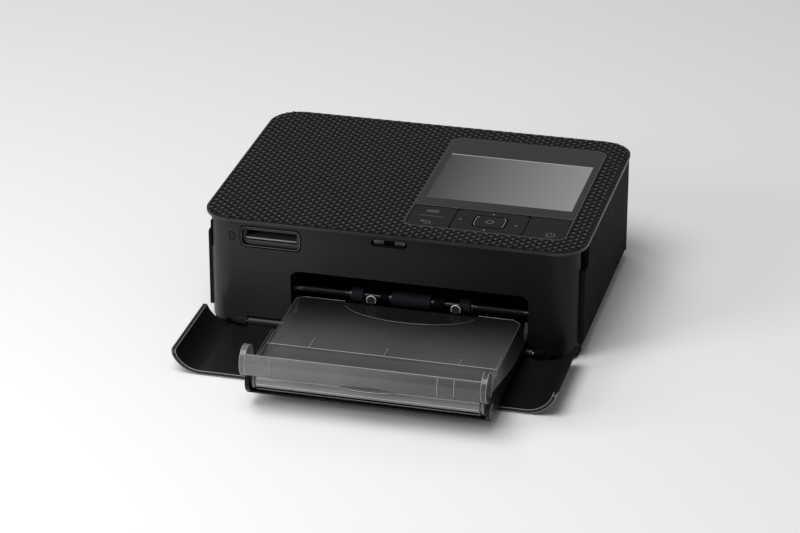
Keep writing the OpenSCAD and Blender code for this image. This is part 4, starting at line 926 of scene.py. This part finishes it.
# Painted highlights: thin bright rods along the lid's edges, ridge, lip discs, ribs, catches and ticks, and
# along the rear plate's edge and recess
lidLines = {
    "radius": 0.17, "plateRadius": 0.12, "hookRadius": 0.26, "rear": 3.35, "rearZ": 19.65, "recessZ": 19.5,
    "plateX": (-41.2, -21.5, 42.5, 59.2), "discX": 6.95,
    # lines along the sides: inset, y and z, first where they bend from the rear's left and right end
    "bends": [(0.2, 0.3, 19.6), (0.2, 0, 19.6)],
    "side": [(0.2, -33.5, 19.3), (-0.6, -36.4, 21.4), (-0.6, -66, 21)],
    # lines across the lid: inset from its sides, y and z
    "across": [(0, -46.7, 19.6), (0, -80.1, 30.3), (1, -76.2, 18.1), (2.6, -71.7, 15.9), (2.6, -73.2, 12.2)],
    "catches": [(10.75, -78.2, 13.4, -3.1), (10.75, -78.2, 12.4, -1.5)], "catchZ": 19.2,
    "ticks": [(-25, -36.6), (10, -38), (45, -40)], "tickStart": (-46, 19.25), "tickEndZ": 19.35,
    "ribZ": (22, 9), "hookY": 3.0, "hookZ": 21.8, "hook": (2.15, 24, -35, 250),
    "hubZ": 21.6, "hub": (1.75, 24), "hubY": (2.6, 2.9),
}
noseBar = {
    "y": -68.5, "z": 12.6, "radius": 4.75, "steps": 40, "inset": 2.4, "bevel": 0.3, "lineInset": 2.7,
    # name, radius, steps, width, start from the left side and from the right side, softened edge
    "ends": [("collar", 4.3, 40, 1.1, 0.4, -1.5, 0.2), ("pin", 1.95, 24, 2.6, -2.1, -0.5, 0),
             ("neck", 3.2, 24, 1.2, 1.4, -2.5, 0)],
    # painted reflections along the clear bar, bright lines and dark lines: angle round the bar, line radius,
    # material
    "lines": [(52, 0.4, "slotBlack"), (36, 0.2, "clearHighlight"), (-4, 0.16, "clearHighlight"),
              (-26, 0.45, "slotBlack")],
}
halfTurn = range(0, 181, 10)


def lipCircle(radius, *turn):
    return circleLoop(lid["lipY"], lid["lipZ"], radius, *turn)


def lidFlap(edge, side):
    low, high = lid["flapLow"], lid["flapHigh"]
    points = []
    for below, above in zip(low, high):
        for out, (y, z) in zip(lid["flapOut"], (below, below, above, above)):
            points.append(at(edge + side * out, y, z))
    faces = []
    for a in range(0, len(points) - 4, 4):
        faces += [(a + k, a + (k + 1) % 4, a + (k + 1) % 4 + 4, a + k + 4) for k in range(4)]
    last = len(points) - 4
    return solid("flap", points, faces + [(3, 2, 1, 0), (last, last + 1, last + 2, last + 3)])


def recessLoop():
    steps = lid["recessSteps"]
    return ellipseLoop(*lid["recess"], [180 + 180 * i / steps for i in range(steps + 1)])


def buildLidSheet():
    recess = recessLoop()
    x0, x1 = lid["left"], lid["right"]
    path = lid["profile"] + lipCircle(lid["lipRadius"], lid["lipSteps"], lid["lipStart"], lid["lipSweep"])
    skin = prism("skin", sheetLoop(path, lid["sheet"]), x0, x1)
    disc = lipCircle(lid["discRadius"], lid["discSteps"])
    thick = lid["discThick"]
    parts = []
    for edge, side, start in ((x0, -1, x0 - thick), (x1, 1, x1)):
        parts += [lidFlap(edge, side), prism("disc", disc, start, start + thick)]
    parts.append(prism("ridge", lid["ridge"], x0, x1))
    parts.append(prism("web", lid["web"], x0 + lid["webInset"], x1 - lid["webInset"]))
    rib = sheetLoop(lipCircle(lid["ribRadius"], 12, -110, -105), lid["ribThick"])
    parts += [prism("rib", rib, x - lid["ribHalf"], x + lid["ribHalf"]) for x in lid["ribs"]]
    parts += [circleRing("halfRing", x, lid["ringZ"], lid["ringRadii"], 28, *lid["ringY"])
              for x in lid["rings"]]
    inset, width = lid["clipInset"], lid["clipWidth"]
    parts += [prism("clip", lid["clip"], x, x + width) for x in (x0 + inset, x1 - inset - width)]
    parts.append(prism("catch", ellipseLoop(*lid["catch"], halfTurn), *lid["catchZ"], "Z"))
    skin = combined("trayLid", skin, parts, "UNION")
    cuts = [prism("recess", recess, *lid["recessZ"], "Z")]
    cuts += [prism("corner", loop, *lid["cornerZ"], "Z") for loop in lid["corners"]]
    skin = combined("trayLid", skin, cuts, "DIFFERENCE")
    dress(skin, "smokeLid", "lid", ("cassette_lid",))
    skin.data.materials.append(materials["smokeLip"])
    for face in skin.data.polygons:
        if face.center.y < at(0, lid["smokeLipY"], 0).y:
            face.material_index = 1
    shade = [(x, min(y, lid["shadeY"])) for x, y in recess]
    dress(prism("lidShade", shade, *lid["shadeZ"], "Z"), "smokeShade", "lid")
    print("lid done:", len(skin.data.polygons), "faces")


def buildLidLines():
    recess = recessLoop()
    x0, x1 = lid["left"], lid["right"]
    lines = lidLines
    hubs = [prism("hub", circleLoop(x, lines["hubZ"], *lines["hub"]), *lines["hubY"], "Y")
            for x in lid["rings"]]
    dress(joined("lidHubs", hubs), "tabGrey", "lid")
    # painted highlights: bright arcs over the clear half rings
    hooks = []
    for x in lid["rings"]:
        path = [(p, lines["hookY"], q) for p, q in circleLoop(x, lines["hookZ"], *lines["hook"])]
        hooks.append(tube("hook", path, lines["hookRadius"]))
    dress(joined("lidHooks", hooks), "clearHighlight", "lid")
    y, z = lines["rear"], lines["rearZ"]
    a, b, c, d = lines["plateX"]
    plate = [[(a, y, z), (b, y, z)], [(c, y, z), (d, y, z)]]
    plate.append([(x, y, lines["recessZ"]) for x, y in recess[3:-3]])
    leftBend, rightBend = lines["bends"]
    plate.append([(a, y, z)] + [(x0 + inset, *place) for inset, *place in [leftBend] + lines["side"]])
    plate.append([(d, y, z)] + [(x1 - inset, *place) for inset, *place in [rightBend] + lines["side"]])
    rods = [[(x0 + inset, y, z), (x1 - inset, y, z)] for inset, y, z in lines["across"]]
    for x in (x0 - lid["discThick"], x0, x1, x1 + lid["discThick"]):
        rods.append([(x, y, z) for y, z in lipCircle(lines["discX"], 32, -60, 330)])
    start, count = lines["ribZ"]
    for x in lid["ribs"]:
        rib = []
        for z in range(start, start + count):
            depth = math.sqrt(lid["discRadius"] ** 2 - (lid["lipZ"] - z) ** 2)
            rib.append((x, lid["lipY"] - depth - 0.05, z))
        rods.append(rib)
    for ellipse in lines["catches"]:
        rods.append([(x, y, lines["catchZ"]) for x, y in ellipseLoop(*ellipse, halfTurn)])
    for x, y in lines["ticks"]:
        rods.append([(x, *lines["tickStart"]), (x, y, lines["tickEndZ"])])
    # painted highlights along the lid's edges
    for name, paths, radius, material in (("lidEdges", rods, lines["radius"], "clearEdgeHighlight"),
                                          ("lidPlateEdges", plate, lines["plateRadius"], "plateEdgeHighlight")):
        dress(joined(name, [tube("edge", path, radius) for path in paths]), material, "lid")


def buildNoseBar():
    x0, x1 = lid["left"], lid["right"]
    y, z, radius, inset = noseBar["y"], noseBar["z"], noseBar["radius"], noseBar["inset"]
    loop = circleLoop(y, z, radius, noseBar["steps"])
    parts = [prism("bar", loop, x0 + inset, x1 - inset, "X", noseBar["bevel"])]
    for name, size, steps, width, fromLeft, fromRight, bevel in noseBar["ends"]:
        for x in (x0 + fromLeft, x1 + fromRight):
            parts.append(prism(name, circleLoop(y, z, size, steps), x, x + width, "X", bevel))
    dress(joined("lidBar", parts), "smokeBar", "lid")
    inset = noseBar["lineInset"]
    # painted reflections: bright and dark lines along the clear bar
    for angle, size, material in noseBar["lines"]:
        a = math.radians(angle)
        lineY = y - radius * math.cos(a)
        lineZ = z + radius * math.sin(a)
        line = tube("barLine", [(x0 + inset, lineY, lineZ), (x1 - inset, lineY, lineZ)], size)
        dress(line, material, "lid")
    print("bar between the noses done")


# Rings and sleeves on the pickup shaft

shaft = {"y": 8, "z": 21.6, "radius": 1.52, "steps": 32}
shaftRings = [
    # name, material, radius, spans along the shaft
    ("shaftCollars", "slotBlack", 2.9, [(-5.1, -1.5), (20.8, 25.2)]),
    ("shaftFlanges", "tabGrey", 2.1, [(-1.0, 0.1), (19.2, 20.2), (-20.0, -19.0), (38.3, 39.2)]),
    ("shaftSleeves", "trayBlack", 1.75, [(-43, -22.5), (41, 63)]),
]


def buildShaftRings():
    y, z, inner, steps = (shaft[key] for key in ("y", "z", "radius", "steps"))
    for name, material, radius, spans in shaftRings:
        parts = [circleRing(name, y, z, (radius, inner), steps, *span, "X") for span in spans]
        dress(joined(name, parts), material, "pickup")
    print("shaft rings done")


# Screw heads with a crossed recess under the base

screws = {
    "radius": 2.3, "high": 0.9, "recess": 0.7, "narrowing": 0.8, "arm": 1.5, "width": 0.5, "z": 1.45,
    "rows": (24, 74, 116), "columns": (-85.8, 81.5),
}


def screwShape():
    head = bmesh.new()
    w, a = screws["width"] / 2, screws["arm"]
    cross = [(w, a), (w, w), (a, w), (a, -w), (w, -w), (w, -a),
             (-w, -a), (-w, -w), (-a, -w), (-a, w), (-w, w), (-w, a)]
    rim = circleLoop(0, 0, screws["radius"], 12, 75, -360)[:12]
    small = screws["narrowing"]
    deep = [(x * small, y * small) for x, y in cross]
    levels = []
    for loop, z in ((rim, screws["high"]), (rim, 0), (cross, 0), (deep, screws["recess"])):
        levels.append([head.verts.new((x * mm, y * mm, z * mm)) for x, y in loop])
    for upper, lower in zip(levels, levels[1:]):
        for i in range(12):
            j = (i + 1) % 12
            head.faces.new((upper[i], upper[j], lower[j], lower[i]))
    head.faces.new(levels[-1])
    head.faces.new(levels[0][::-1])
    bmesh.ops.recalc_face_normals(head, faces=head.faces)
    return newObject("screwShape", newMesh("screwShape", head))


def buildScrews():
    group = newTree("screwHeads")
    groupInput(group, "Geometry", "NodeSocketGeometry")
    shapeInput = groupInput(group, "Screw", "NodeSocketObject")
    finishInput = groupInput(group, "Finish", "NodeSocketMaterial")
    source = addNode(group, "NodeGroupInput")
    info = addNode(group, "GeometryNodeObjectInfo")
    connect(group, [(source, "Screw", info, "Object")])
    finishPoints(group, source, source.outputs["Geometry"], info.outputs["Geometry"])

    shapeObject = screwShape()
    holder = bpy.data.meshes.new("screwPoints")
    points = [tuple(at(x, y, screws["z"])) for y in screws["rows"] for x in screws["columns"]]
    holder.from_pydata(points, [], [])
    obj = newObject("baseScrewHeads", holder)
    runTree(obj, group, {shapeInput: shapeObject, finishInput: materials["brightSteel"]})
    bpy.data.objects.remove(shapeObject)
    dress(smooth(obj), "brightSteel", "printer")
    print("screws done")


# CAD nodes that keep their solid

nodeLooks = {
    "displayGrey": ["display_module"],
    "boardGreen": ["panel_board", "main_board", "wireless_module"],
    "brightSteel": ["base_screws", "door_pins", "usb_port", "head_shaft", "capstan_roller", "ink_door_pins"],
    "innerBlack": ["latch_catch", "fan_frame", "fan_rotor", "paper_guide", "rear_guide", "dc_inlet",
                   "pad_rocker_frame"],
    "platedSheet": ["left_chassis_plate", "right_chassis_plate", "cross_ties", "feed_motor", "motor_bracket"],
    "gearWhite": ["shaft_bushes", "idler_gear", "capstan_gear", "transfer_gear_1", "transfer_gear_2",
                  "transfer_gear_3", "pickup_gear", "ribbon_gear"],
    "headAlloy": ["head_arm", "thermal_head"],
    "rollerRubber": ["platen_roller", "pinch_roller", "pickup_rollers"],
    "shaftDark": ["pickup_shaft"],
    "brass": ["motor_pinion"],
    "woundRibbon": ["take_up_spool", "supply_spool"],
    "sheetRibbon": ["ribbon_film"],
    "leverOrange": ["eject_lever"],
    "trayBlack": ["lift_plate"],
}


def dressNodes():
    for name, dressed in nodeLooks.items():
        for node in dressed:
            mesh = nodes[node].data
            if mesh.materials:
                nodes[node].material_slots[0].material = materials[name]
            else:
                mesh.materials.append(materials[name])
    print("CAD nodes dressed:", sum(len(dressed) for dressed in nodeLooks.values()))


makeMaterials()
buildStudio()
buildCase()
buildTexture()
buildMenuSigns()
buildPadSigns()
buildOtherSigns()
buildPanelLines()
buildFrontDetails()
buildLidSheet()
buildLidLines()
buildNoseBar()
buildShaftRings()
buildScrews()
dressNodes()
